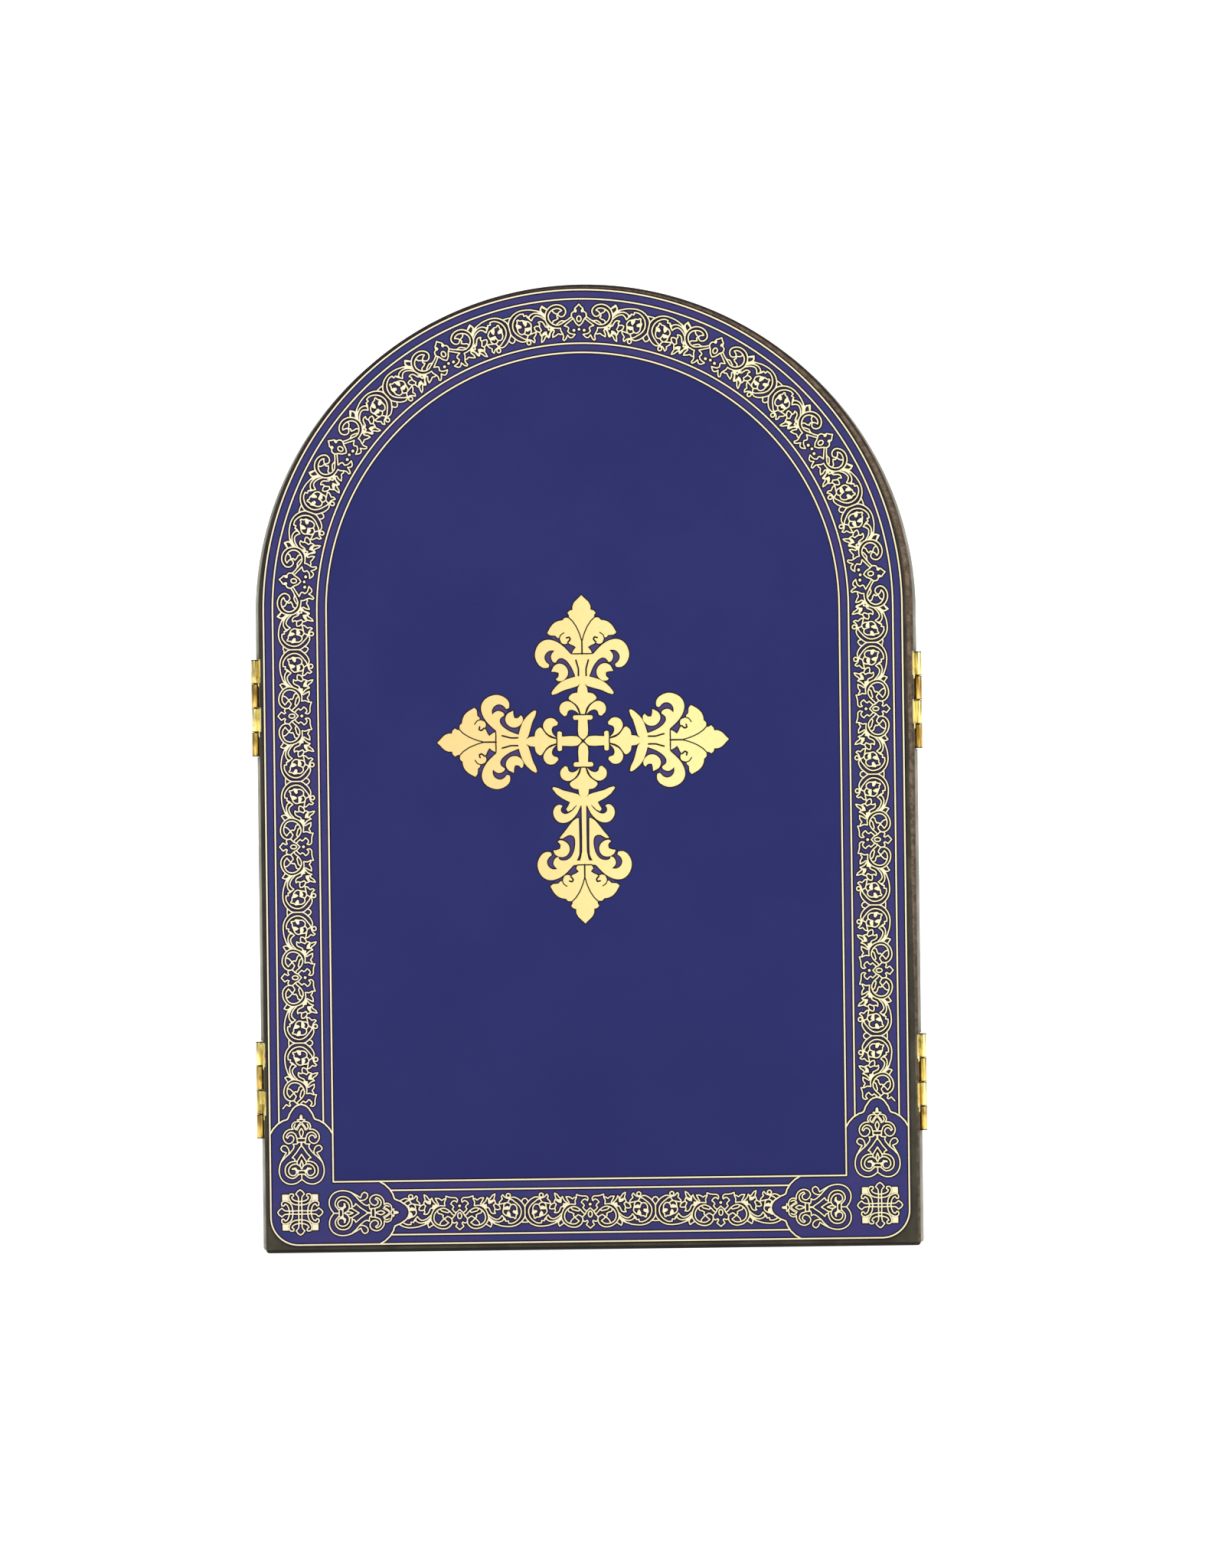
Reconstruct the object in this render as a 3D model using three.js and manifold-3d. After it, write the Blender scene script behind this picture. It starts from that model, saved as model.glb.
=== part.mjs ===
// Folding icon triptych, closed: an arched centre board with two half-arch wings folded flat
// over its front. Millimetres, +Z up. The back of the centre board faces -Y and the wings lie
// on the +Y side. Left and right are as seen from the back, so left is -X.
// The plane y = 0 is the fold plane, half way between the centre board and the wings, and the
// hinge axes lie in it.
import * as THREE from 'three';
import { mergeVertices } from 'three/addons/utils/BufferGeometryUtils.js';
import Module from 'manifold-3d';

const wasm = await Module();
wasm.setup();

// Boards
const panelWidth = 142.5;
const panelHeight = 210;
const boardThickness = 9;
const edgeRound = 0.75;
const wingOverhang = 1.1; // how far a closed wing stands out past the centre board's side
const wingSeam = 0.75; // between the two closed wings
const arcSteps = 40; // straight facets round the whole arch

// Printed sheets glued to the boards
const sheetThickness = 0.25;
const foldClearance = 0.375; // from the fold plane to the face of each inner sheet
const backSheet = { radius: 69.75, centreX: -0.62, bottom: 1.5, top: 209.1, corner: 6.3 };
const frontSheet = { radius: 69.5, centreX: 0, bottom: 1.75, top: 208.25, corner: 1.5 };
const wingSheetMargin = 1.75;
const wingSheetCorner = 1.5;

// Hinges. The board's leaves are let in flush and cranked out to the pin, the wing's are flat
// and lie in a recess of the overhanging edge.
const hingeLength = 21.2;
const hingeCentres = { upper: 118.8, lower: 35.2 };
const pinOut = 1.25; // from the centre board's side to the hinge axis
const knuckleCount = 4;
const knuckleGap = 0.2;
const knuckleRadius = 0.9;
const leafThickness = 0.4;
const pinRadius = 0.42;
const leafWidth = 7.6; // from the hinge axis to the leaf's free edge
const leafNotch = 1.4; // from the axis to the leaf where the other leaf's knuckle turns
const crankStart = 1.75; // from the axis to where the board's leaf bends outwards
const mortiseClearance = 0.3;
const roundSteps = 16;

// Nails, two to a leaf
const nailSpacing = 11;
const nailFromAxis = 4.6;
const nailHoleRadius = 0.5;
const nailHoleDepth = 6.5;
const nailHoleSteps = 10;
const nail = { shank: 0.42, length: 6, point: 0.8, head: 1, rim: 0.12, crown: 0.35, steps: 10 };

const panelRadius = panelWidth / 2;
const springHeight = panelHeight - panelRadius;
const boardFace = foldClearance + sheetThickness; // from the fold plane to a board's inner face
const boardBack = boardFace + boardThickness;
const hingeAxisX = panelRadius + pinOut;
const boardLeafX = -pinOut - leafThickness; // from the hinge axis to a let-in leaf's inner face
const wingLeafX = -knuckleRadius;

const lacquer = new THREE.MeshStandardMaterial({ color: 0x4e4b3f, roughness: 0.45, metalness: 0 });
const blueSheet = new THREE.MeshStandardMaterial({ color: 0x313469, roughness: 0.5, metalness: 0 });
const goldSheet = new THREE.MeshStandardMaterial({ color: 0xb8924a, roughness: 0.5, metalness: 0 });
const brass = new THREE.MeshStandardMaterial({ color: 0xc9a544, roughness: 0.3, metalness: 1 });

// Outline of an arch, or of the part of it between two upright lines, drawn with x across and
// y up. The bottom corners are rounded where a corner radius is given.
function archOutline({ centreX, radius, spring, bottom, left, right, corner = 0 }) {
  const start = Math.acos((left - centreX) / radius);
  const end = Math.acos((right - centreX) / radius);
  const steps = Math.round((arcSteps * (start - end)) / Math.PI);
  const shape = new THREE.Shape();
  const points = [];
  for (let i = 0; i <= steps; i += 1) {
    const angle = start + ((end - start) * i) / steps;
    const y = spring + radius * Math.sin(angle);
    points.push(new THREE.Vector2(centreX + radius * Math.cos(angle), y));
  }
  for (const [x, turn] of [[right - corner, 0], [left + corner, -Math.PI / 2]]) {
    const cornerSteps = corner > 0 ? 5 : 0;
    for (let i = 0; i <= cornerSteps; i += 1) {
      const angle = turn - (Math.PI / 2) * (cornerSteps ? i / cornerSteps : 0);
      const dx = corner * Math.cos(angle);
      points.push(new THREE.Vector2(x + dx, bottom + corner + corner * Math.sin(angle)));
    }
  }
  shape.setFromPoints(points);
  return shape;
}

// Extrudes an upright outline through y from one depth to another, with its edges rounded.
function uprightPlate(outline, yFrom, yTo, round = 0) {
  const depth = yTo - yFrom;
  const geometry = new THREE.ExtrudeGeometry(outline, {
    depth: depth - 2 * round,
    bevelEnabled: round > 0,
    bevelThickness: round,
    bevelSize: round,
    bevelOffset: -round,
    bevelSegments: 2,
  });
  geometry.translate(0, 0, round);
  geometry.rotateX(Math.PI / 2);
  geometry.translate(0, yTo, 0);
  return geometry;
}

function toManifold(geometry) {
  const bare = geometry.clone();
  bare.deleteAttribute('normal');
  bare.deleteAttribute('uv');
  const merged = mergeVertices(bare, 1e-4);
  const mesh = new wasm.Mesh({
    numProp: 3,
    vertProperties: new Float32Array(merged.attributes.position.array),
    triVerts: new Uint32Array(merged.index.array),
  });
  mesh.merge();
  return new wasm.Manifold(mesh);
}

function fromManifold(solid) {
  const mesh = solid.getMesh();
  const geometry = new THREE.BufferGeometry();
  geometry.setAttribute('position', new THREE.BufferAttribute(mesh.vertProperties, 3));
  geometry.setIndex(new THREE.BufferAttribute(mesh.triVerts, 1));
  geometry.computeVertexNormals();
  return geometry;
}

function cutFrom(geometry, cutters) {
  let solid = toManifold(geometry);
  for (const cutter of cutters) solid = solid.subtract(toManifold(cutter));
  return fromManifold(solid);
}

function namedMesh(name, geometry, material) {
  const mesh = new THREE.Mesh(geometry, material);
  mesh.name = name;
  return mesh;
}

// The nail heights and depths of one leaf: on the board's side of the fold plane y is negative,
// on the wing's side positive.
function nailPlaces(onWing) {
  const y = (onWing ? 1 : -1) * nailFromAxis;
  const places = [];
  for (const hinge of Object.values(hingeCentres)) {
    for (const end of [-1, 1]) places.push({ y, z: hinge + (end * nailSpacing) / 2 });
  }
  return places;
}

function nailHole(side, { y, z }) {
  const overshoot = 2;
  const length = nailHoleDepth + overshoot;
  const hole = new THREE.CylinderGeometry(nailHoleRadius, nailHoleRadius, length, nailHoleSteps);
  hole.rotateZ(Math.PI / 2);
  hole.translate(side * (panelRadius + overshoot - length / 2), y, z);
  return hole;
}

// The shallow recess that takes a leaf, cut from the fold plane down to the leaf's inner face.
function mortise(side, hingeCentre, leafX) {
  const reach = 3;
  const depthY = leafWidth + mortiseClearance;
  const box = new THREE.BoxGeometry(reach, 2 * depthY, hingeLength + 2 * mortiseClearance);
  box.translate(side * (hingeAxisX + leafX + reach / 2), 0, hingeCentre);
  return box;
}

function leafRecesses(side, onWing) {
  const leafX = onWing ? wingLeafX : boardLeafX;
  const recesses = Object.values(hingeCentres).map((height) => mortise(side, height, leafX));
  const holes = nailPlaces(onWing).map((place) => nailHole(side, place));
  return [...recesses, ...holes];
}

function centreBoard() {
  const outline = archOutline({
    centreX: 0,
    radius: panelRadius,
    spring: springHeight,
    bottom: 0,
    left: -panelRadius,
    right: panelRadius,
  });
  const plate = uprightPlate(outline, -boardBack, -boardFace, edgeRound);
  const recesses = [-1, 1].flatMap((side) => leafRecesses(side, false));
  return namedMesh('centre_board', cutFrom(plate, recesses), lacquer);
}

// A wing is half of the same arch moved out sideways by the overhang. An inset makes the
// outline of the sheet glued to it.
function wingOutline(side, inset, corner) {
  const centreX = side * wingOverhang;
  const radius = panelRadius - inset;
  const outer = centreX + side * radius;
  const inner = side * (wingSeam / 2 + inset);
  return archOutline({
    centreX,
    radius,
    spring: springHeight,
    bottom: inset,
    left: Math.min(outer, inner),
    right: Math.max(outer, inner),
    corner,
  });
}

function wingBoard(side, sideName) {
  const plate = uprightPlate(wingOutline(side, 0), boardFace, boardBack, edgeRound);
  const geometry = cutFrom(plate, leafRecesses(side, true));
  return namedMesh(`${sideName}_wing_board`, geometry, lacquer);
}

function wingSheets(side, sideName) {
  const outline = wingOutline(side, wingSheetMargin, wingSheetCorner);
  const inner = uprightPlate(outline, foldClearance, boardFace);
  const outer = uprightPlate(outline, boardBack, boardBack + sheetThickness);
  return [
    namedMesh(`${sideName}_wing_inner_sheet`, inner, goldSheet),
    namedMesh(`${sideName}_wing_outer_sheet`, outer, blueSheet),
  ];
}

function centreSheet(name, sheet, yFrom, material) {
  const outline = archOutline({
    centreX: sheet.centreX,
    radius: sheet.radius,
    spring: sheet.top - sheet.radius,
    bottom: sheet.bottom,
    left: sheet.centreX - sheet.radius,
    right: sheet.centreX + sheet.radius,
    corner: sheet.corner,
  });
  return namedMesh(name, uprightPlate(outline, yFrom, yFrom + sheetThickness), material);
}

function roundHole(x, y, radius, steps) {
  const points = [];
  for (let i = 0; i < steps; i += 1) {
    const angle = (2 * Math.PI * i) / steps;
    points.push(new THREE.Vector2(x + radius * Math.cos(angle), y + radius * Math.sin(angle)));
  }
  return new THREE.Path(points);
}

// One hinge leaf, drawn for the right-hand side with the hinge axis at the origin and the leaf
// running along -y. Its knuckles take every other place, counted from the top.
function leafGeometry(leafX, firstKnuckle) {
  const cranked = leafX < -knuckleRadius;
  const inner = cranked ? -crankStart : -leafNotch;
  const half = hingeLength / 2;
  const plate = new THREE.Shape();
  plate.moveTo(-leafWidth, -half);
  plate.lineTo(inner, -half);
  plate.lineTo(inner, half);
  plate.lineTo(-leafWidth, half);
  plate.closePath();
  for (const end of [-1, 1]) {
    const z = (end * nailSpacing) / 2;
    plate.holes.push(roundHole(-nailFromAxis, z, nailHoleRadius, nailHoleSteps));
  }
  const flat = new THREE.ExtrudeGeometry(plate, { depth: leafThickness, bevelEnabled: false });
  flat.rotateX(Math.PI / 2);
  flat.rotateZ(Math.PI / 2);
  flat.translate(leafX, 0, 0);

  let solid = toManifold(flat);
  const knuckleLength = (hingeLength - (knuckleCount - 1) * knuckleGap) / knuckleCount;
  for (let i = firstKnuckle; i < knuckleCount; i += 2) {
    const top = half - i * (knuckleLength + knuckleGap);
    const settings = { depth: knuckleLength, bevelEnabled: false };
    const knuckle = new THREE.ExtrudeGeometry(knuckleSection(leafX, cranked), settings);
    knuckle.translate(0, 0, top - knuckleLength);
    solid = solid.add(toManifold(knuckle));
  }
  return fromManifold(solid);
}

// The rolled end of the leaf: a ring round the pin that runs on into the flat of the leaf, by
// way of an outward bend where the leaf is cranked.
function knuckleSection(leafX, cranked) {
  const root = -crankStart - 0.5; // inside the flat of the leaf
  const rollFace = leafThickness - knuckleRadius;
  const meet = Math.acos(rollFace / knuckleRadius);
  const section = new THREE.Shape();
  section.moveTo(leafX, root);
  if (cranked) section.lineTo(leafX, 0.2 - crankStart);
  section.lineTo(-knuckleRadius, cranked ? -0.75 : 0);
  for (let i = cranked ? 0 : 1; i <= roundSteps; i += 1) {
    const angle = Math.PI - ((Math.PI + meet) * i) / roundSteps;
    section.lineTo(knuckleRadius * Math.cos(angle), knuckleRadius * Math.sin(angle));
  }
  if (cranked) section.lineTo(rollFace, -0.95);
  if (cranked) section.lineTo(leafX + leafThickness, -crankStart);
  section.lineTo(leafX + leafThickness, root);
  section.closePath();
  section.holes.push(roundHole(0, 0, knuckleRadius - leafThickness, roundSteps));
  return section;
}

function nailGeometry() {
  const profile = [
    [0, -nail.length],
    [nail.shank, nail.point - nail.length],
    [nail.shank, 0],
    [nail.head, 0],
    [nail.head, nail.rim],
    [0.6 * nail.head, 0.8 * nail.crown],
    [0, nail.crown],
  ];
  const points = profile.map(([x, y]) => new THREE.Vector2(x, y));
  return new THREE.LatheGeometry(points, nail.steps);
}

// One hinge with its nails, placed about its own axis. The wing's leaf mirrors the board's in
// the fold plane, and the left-hand hinges mirror the right-hand ones.
function hinge(side, sideName, heightName) {
  const group = new THREE.Group();
  group.position.set(side * hingeAxisX, 0, hingeCentres[heightName]);
  const prefix = `${heightName}_${sideName}`;
  const leaves = [
    { owner: 'board', leafX: boardLeafX, firstKnuckle: 0, towards: -1 },
    { owner: 'wing', leafX: wingLeafX, firstKnuckle: 1, towards: 1 },
  ];
  for (const { owner, leafX, firstKnuckle, towards } of leaves) {
    const geometry = leafGeometry(leafX, firstKnuckle);
    mirrorTo(geometry, side, -towards);
    group.add(namedMesh(`${prefix}_${owner}_leaf`, geometry, brass));
    for (const [end, endName] of [[-1, 'low'], [1, 'high']]) {
      const mesh = namedMesh(`${prefix}_${owner}_nail_${endName}`, nailGeometry(), brass);
      mesh.rotation.z = (-side * Math.PI) / 2;
      const x = side * (leafX + leafThickness);
      mesh.position.set(x, towards * nailFromAxis, (end * nailSpacing) / 2);
      group.add(mesh);
    }
  }
  const pin = new THREE.CylinderGeometry(pinRadius, pinRadius, hingeLength, 12);
  pin.rotateX(Math.PI / 2);
  group.add(namedMesh(`${prefix}_hinge_pin`, pin, brass));
  return group;
}

// Mirrors a geometry in x, in y, or in both, and keeps its faces pointing out.
function mirrorTo(geometry, signX, signY) {
  geometry.scale(signX, signY, 1);
  if (signX * signY > 0) return;
  const index = geometry.index.array;
  for (let i = 0; i < index.length; i += 3) {
    const first = index[i];
    index[i] = index[i + 1];
    index[i + 1] = first;
  }
  geometry.computeVertexNormals();
}

const triptych = new THREE.Group();
triptych.add(centreBoard());
triptych.add(centreSheet('back_sheet', backSheet, -boardBack - sheetThickness, blueSheet));
triptych.add(centreSheet('front_sheet', frontSheet, -boardFace, goldSheet));
for (const [side, sideName] of [[-1, 'left'], [1, 'right']]) {
  triptych.add(wingBoard(side, sideName));
  triptych.add(...wingSheets(side, sideName));
  for (const heightName of Object.keys(hingeCentres)) {
    triptych.add(hinge(side, sideName, heightName));
  }
}

export default triptych;
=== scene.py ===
# A folding icon triptych, closed and seen from the back of its centre board: lacquered boards,
# a blue printed sheet with a gold cross and a vine border, and four small brass hinges.
# Sizes in the dictionaries are millimetres; meshes are built in metres in the CAD frame.
import math

import bpy
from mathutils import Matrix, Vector
from mathutils.geometry import delaunay_2d_cdt


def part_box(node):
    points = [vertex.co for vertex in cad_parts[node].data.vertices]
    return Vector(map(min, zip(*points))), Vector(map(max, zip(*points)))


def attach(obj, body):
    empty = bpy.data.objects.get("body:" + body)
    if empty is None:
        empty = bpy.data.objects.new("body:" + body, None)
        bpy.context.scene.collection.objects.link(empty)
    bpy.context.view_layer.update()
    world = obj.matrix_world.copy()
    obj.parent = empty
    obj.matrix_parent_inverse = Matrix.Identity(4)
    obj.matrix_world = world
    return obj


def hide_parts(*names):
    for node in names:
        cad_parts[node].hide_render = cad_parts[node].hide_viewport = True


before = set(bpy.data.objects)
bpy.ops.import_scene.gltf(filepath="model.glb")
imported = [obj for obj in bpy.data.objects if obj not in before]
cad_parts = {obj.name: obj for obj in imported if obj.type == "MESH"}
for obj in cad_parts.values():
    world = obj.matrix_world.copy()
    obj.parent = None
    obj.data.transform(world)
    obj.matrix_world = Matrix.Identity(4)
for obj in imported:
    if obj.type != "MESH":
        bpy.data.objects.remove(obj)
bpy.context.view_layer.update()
mm = 0.001
rightAngle = math.pi / 2
mergeWithin = 0.001 * mm    # points closer than this are one

print("triptych: frame loaded")


class Value:
    # a socket that can be used in ordinary arithmetic
    def __init__(self, finish, socket):
        self.finish = finish
        self.socket = socket

    def math(self, operation, *others):
        inputs = dict(enumerate((self,) + others))
        return self.finish.node("ShaderNodeMath", {"operation": operation}, inputs)

    def __add__(self, other):
        return self.math("ADD", other)

    def __sub__(self, other):
        return self.math("SUBTRACT", other)

    def __rsub__(self, other):
        return self * -1 + other

    def __mul__(self, other):
        return self.math("MULTIPLY", other)

    __radd__ = __add__
    __rmul__ = __mul__

    def most(self, other):
        return self.math("MAXIMUM", other)

    def size(self):
        return self.math("ABSOLUTE")

    def root(self):
        return self.math("SQRT")

    def step(self, start, end):
        # 0 before start, 1 after end, smooth between
        settings = {"interpolation_type": "SMOOTHSTEP"}
        inputs = {"Value": self, "From Min": start, "From Max": end}
        return self.finish.node("ShaderNodeMapRange", settings, inputs)


class Finish:
    # a material with its shader, and the calls that add nodes to it
    def __init__(self, name, **shaderValues):
        self.material = bpy.data.materials.new(name)
        self.material.use_nodes = True
        self.tree = self.material.node_tree
        self.shader = self.tree.nodes["Principled BSDF"]
        for key, value in shaderValues.items():
            self.put(key.replace("_", " "), value)
        self.place = self.node("ShaderNodeTexCoord", output="Object")
        parts = self.node("ShaderNodeSeparateXYZ", inputs={0: self.place}).socket.node
        self.x, self.y, self.z = (Value(self, parts.outputs[axis]) for axis in "XYZ")

    def node(self, kind, settings=None, inputs=None, output=0):
        made = self.tree.nodes.new(kind)
        for key, value in (settings or {}).items():
            setattr(made, key, value)
        for key, value in (inputs or {}).items():
            self.plug(made.inputs[key], value)
        return Value(self, made.outputs[output])

    def plug(self, socket, value):
        if isinstance(value, Value):
            self.tree.links.new(value.socket, socket)
        elif isinstance(value, tuple) and len(value) == 3 and socket.type == "RGBA":
            socket.default_value = (*value, 1)
        else:
            socket.default_value = value

    def put(self, name, value):
        self.plug(self.shader.inputs[name], value)

    def noise(self, scale, detail=3, roughness=0.55, stretch=(1, 1, 1)):
        spread = self.node("ShaderNodeMapping", inputs={"Vector": self.place, "Scale": stretch})
        inputs = {"Vector": spread, "Scale": scale, "Detail": detail, "Roughness": roughness}
        return self.node("ShaderNodeTexNoise", inputs=inputs)

    def mix(self, share, first, second):
        inputs = {0: share, 6: first, 7: second}
        return self.node("ShaderNodeMix", {"data_type": "RGBA"}, inputs, output=2)

    def bump(self, height, distance, strength):
        inputs = {"Height": height, "Distance": distance, "Strength": strength}
        self.put("Normal", self.node("ShaderNodeBump", inputs=inputs))


def screenColour(red, green, blue):
    # a colour given as it looks on a screen, 0 to 255, as the linear values a shader takes
    def linear(part):
        part = part / 255
        return part / 12.92 if part <= 0.04045 else ((part + 0.055) / 1.055) ** 2.4
    return linear(red), linear(green), linear(blue)


def startFresh():
    if bpy.context.mode != "OBJECT":
        bpy.ops.object.mode_set(mode="OBJECT")
    bpy.ops.object.select_all(action="DESELECT")


def makeActive(piece):
    startFresh()
    piece.select_set(True)
    bpy.context.view_layer.objects.active = piece


def openForShaping():
    # puts the new piece's place into its mesh and opens it in edit mode, all selected
    piece = bpy.context.active_object
    bpy.ops.object.transform_apply(location=True, rotation=True, scale=True)
    bpy.ops.object.mode_set(mode="EDIT")
    bpy.ops.mesh.select_all(action="SELECT")
    return piece


def mergeAndTurnOut():
    # merges doubled points and points every face outwards
    bpy.ops.mesh.select_all(action="SELECT")
    bpy.ops.mesh.remove_doubles(threshold=mergeWithin)
    bpy.ops.mesh.normals_make_consistent(inside=False)


def drawOut(x, y, z):
    bpy.ops.mesh.extrude_region_move(TRANSFORM_OT_translate={"value": (x, y, z)})


def applyModifier(piece, kind, **settings):
    # leaves the piece active and selected
    makeActive(piece)
    modifier = piece.modifiers.new(kind.title(), kind)
    for key, value in settings.items():
        setattr(modifier, key, value)
    bpy.ops.object.modifier_apply(modifier=modifier.name)


def settle(piece, name, finish, slot, body, *nodes):
    # names a finished piece, gives it its material, and hands it to the frame
    makeActive(piece)
    bpy.ops.object.transform_apply(location=True, rotation=True, scale=True)
    piece.name = name
    piece.data.name = name
    piece.data.materials.clear()
    piece.data.materials.append(finish.material)
    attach(piece, body)
    if nodes:
        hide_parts(*nodes)
    return piece


def selectPart(piece, domain, test):
    # in edit mode, selects only the edges or faces that pass the test: an edge's middle and
    # length, or a face's middle and normal
    bpy.ops.mesh.select_mode(type=domain)
    bpy.ops.mesh.select_all(action="DESELECT")
    bpy.ops.object.mode_set(mode="OBJECT")
    mesh = piece.data
    if domain == "EDGE":
        for edge in mesh.edges:
            start, end = (mesh.vertices[index].co for index in edge.vertices)
            edge.select = test((start + end) / 2, end - start)
    else:
        for face in mesh.polygons:
            face.select = test(face.center, face.normal)
    bpy.ops.object.mode_set(mode="EDIT")


# The round-headed outline that all the boards share, in metres
boardLo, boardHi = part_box("centre_board")
board = {
    "radius": boardHi.x,
    "spring": boardHi.z - boardHi.x,
    "edgeRound": 0.75 * mm,
    "arcSteps": 256,
    "edgeSteps": 4,
    "cornerSteps": 10,
    "sharpEdge": math.radians(50),      # edges sharper than this are rounded
    "flatTurn": math.radians(0.3),      # faces that meet flatter than this become one
    "tiny": 0.02 * mm,
}


def archSlab(centreX, radius, spring, lo, hi, corner=0.0, edgeRound=0.0):
    # a flat slab with a round head: a disc cut at its springing, drawn down to the bottom,
    # trimmed between two upright lines, its lower corners or its rims rounded
    tiny = board["tiny"]
    startFresh()
    bpy.ops.mesh.primitive_cylinder_add(
        vertices=board["arcSteps"], radius=radius, depth=hi.y - lo.y,
        location=(centreX, (lo.y + hi.y) / 2, spring), rotation=(rightAngle, 0, 0))
    piece = openForShaping()
    bpy.ops.mesh.bisect(plane_co=(0, 0, spring), plane_no=(0, 0, 1), clear_inner=True)
    drawOut(0, 0, lo.z - spring)
    bpy.ops.mesh.edge_face_add()
    for edgeX, side in ((lo.x, -1), (hi.x, 1)):
        if abs(edgeX - centreX) < radius - tiny:
            bpy.ops.mesh.select_all(action="SELECT")
            bpy.ops.mesh.bisect(plane_co=(edgeX, 0, 0), plane_no=(side, 0, 0),
                                clear_outer=True, use_fill=True)
    mergeAndTurnOut()
    bpy.ops.mesh.dissolve_limited(angle_limit=board["flatTurn"])
    if corner:
        selectPart(piece, "EDGE", lambda middle, along: middle.z < lo.z + tiny
                   and abs(along.y) > tiny)
        bpy.ops.mesh.bevel(offset=corner, segments=board["cornerSteps"], affect="EDGES")
    startFresh()
    if edgeRound:
        applyModifier(piece, "BEVEL", width=edgeRound, segments=board["edgeSteps"],
                      limit_method="ANGLE", angle_limit=board["sharpEdge"])
        bpy.ops.object.shade_smooth()
        applyModifier(piece, "WEIGHTED_NORMAL", keep_sharp=True, weight=80)
    return piece


def cutRecess(piece, lo, hi):
    # takes a square-cornered recess out of a board
    startFresh()
    bpy.ops.mesh.primitive_cube_add(size=1, location=(lo + hi) / 2, scale=hi - lo)
    cutter = bpy.context.active_object
    applyModifier(piece, "BOOLEAN", operation="DIFFERENCE", object=cutter, solver="EXACT")
    bpy.data.objects.remove(cutter)


# Ornament is drawn as centre lines and filled shapes in millimetres, joined flat into one
# outline, and given its thickness. A line is a list of points that a smooth curve runs
# through; a turn sharper than sharpTurn stays a corner.
drawing = {
    "sharpTurn": math.radians(62),
    "bend": math.radians(18),   # turn between two drawn steps of a curve
    "longest": 1.5,             # longest step where a line is bent round the arch
    "discSides": 8,
    "ringSides": 20,
    "dotSides": 10,
    "roundedTurn": math.radians(40),    # a sharper turn of a strip gets a round corner
    "mitre": 0.5,               # least cosine that widens a strip at a turn
    "spill": (4, 1),            # how many times its own area, and how much more, an outline
                                # may cover before it is tested point by point
    "flatWithin": 0.012,        # how far a dropped outline point may lie off the line
    "shortest": 1e-4,           # of a side left when points are dropped
    "leastArea": 5e-8,
    "joinWithin": 1e-5,
    "weldWithin": 0.004,
    "sunk": 0.03,               # how far ornament reaches down into its sheet
}


def sidesOf(loop):
    # the pairs of neighbours round a closed loop
    return list(zip(loop, loop[1:] + loop[:1]))


def ordered(a, b):
    return min(a, b), max(a, b)


def runThrough(points, closed=False):
    # a smooth curve through the points, drawn as short straight steps
    points = [Vector(point) for point in points]
    count = len(points)
    straightEnough = math.cos(drawing["sharpTurn"])

    def heading(before, here, after, arriving):
        if before is None:
            return (after - here).normalized()
        if after is None:
            return (here - before).normalized()
        comesIn = (here - before).normalized()
        goesOut = (after - here).normalized()
        if comesIn.dot(goesOut) < straightEnough:
            return comesIn if arriving else goesOut
        return (after - before).normalized()

    drawn = []
    for index in range(count if closed else count - 1):
        a = points[index]
        b = points[(index + 1) % count]
        before = points[index - 1] if closed or index else None
        after = points[(index + 2) % count] if closed or index + 2 < count else None
        length = (b - a).length
        leaves = heading(before, a, b, False)
        arrives = heading(a, b, after, True)
        turn = abs(leaves.angle(arrives)) + abs(leaves.angle(b - a)) * 0.5
        steps = max(1, math.ceil(turn / drawing["bend"]), math.ceil(length / drawing["longest"]))
        for step in range(steps):
            t = step / steps
            drawn.append(
                a * (1 + 2 * t) * (1 - t) ** 2 + leaves * length * t * (1 - t) ** 2
                + b * t * t * (3 - 2 * t) - arrives * length * t * t * (1 - t))
    if not closed:
        drawn.append(points[-1])
    return drawn


def disc(centre, radius):
    sides = drawing["discSides"]
    angles = [2 * math.pi * (step + 0.5) / sides for step in range(sides)]
    return [Vector((centre[0] + radius * math.cos(a), centre[1] + radius * math.sin(a)))
            for a in angles]


def ellipse(centre, halfWidth, halfHeight, sides):
    angles = [2 * math.pi * step / sides for step in range(sides)]
    return [(centre[0] + halfWidth * math.cos(a), centre[1] + halfHeight * math.sin(a))
            for a in angles]


def ribbon(path, width, closed=False):
    # the flat strip along a drawn line, as four-sided pieces, with round ends and corners
    half = width / 2
    count = len(path)
    strips = []
    if closed:
        path = path + [path[0]]
    elif count > 1:
        strips += [disc(path[0], half), disc(path[-1], half)]
    for index in range(len(path) - 1):
        a, b = path[index], path[index + 1]
        along = (b - a).normalized()
        aside = Vector((-along.y, along.x)) * half
        rims = []
        for end, neighbour in ((a, index - 1), (b, index + 2)):
            if closed:
                beyond = path[neighbour % count]
            elif 0 <= neighbour < count:
                beyond = path[neighbour]
            else:
                rims.append(aside)
                continue
            other = (end - beyond if end is a else beyond - end).normalized()
            turn = other.angle(along, 0)
            if turn > drawing["roundedTurn"]:
                strips.append(disc(end, half))
                rims.append(aside)
                continue
            middle = (other + along).normalized()
            across = Vector((-middle.y, middle.x))
            rims.append(across * half / max(math.cos(turn / 2), drawing["mitre"]))
        span = b - a
        if min((span + rims[1] - rims[0]).dot(along), (span - rims[1] + rims[0]).dot(along)) < 0:
            # too short for its mitred ends: square ends, rounded off
            rims = [aside, aside]
            strips += [disc(a, half), disc(b, half)]
        strips.append([a + rims[0], a - rims[0], b - rims[1], b + rims[1]])
    return strips


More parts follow.
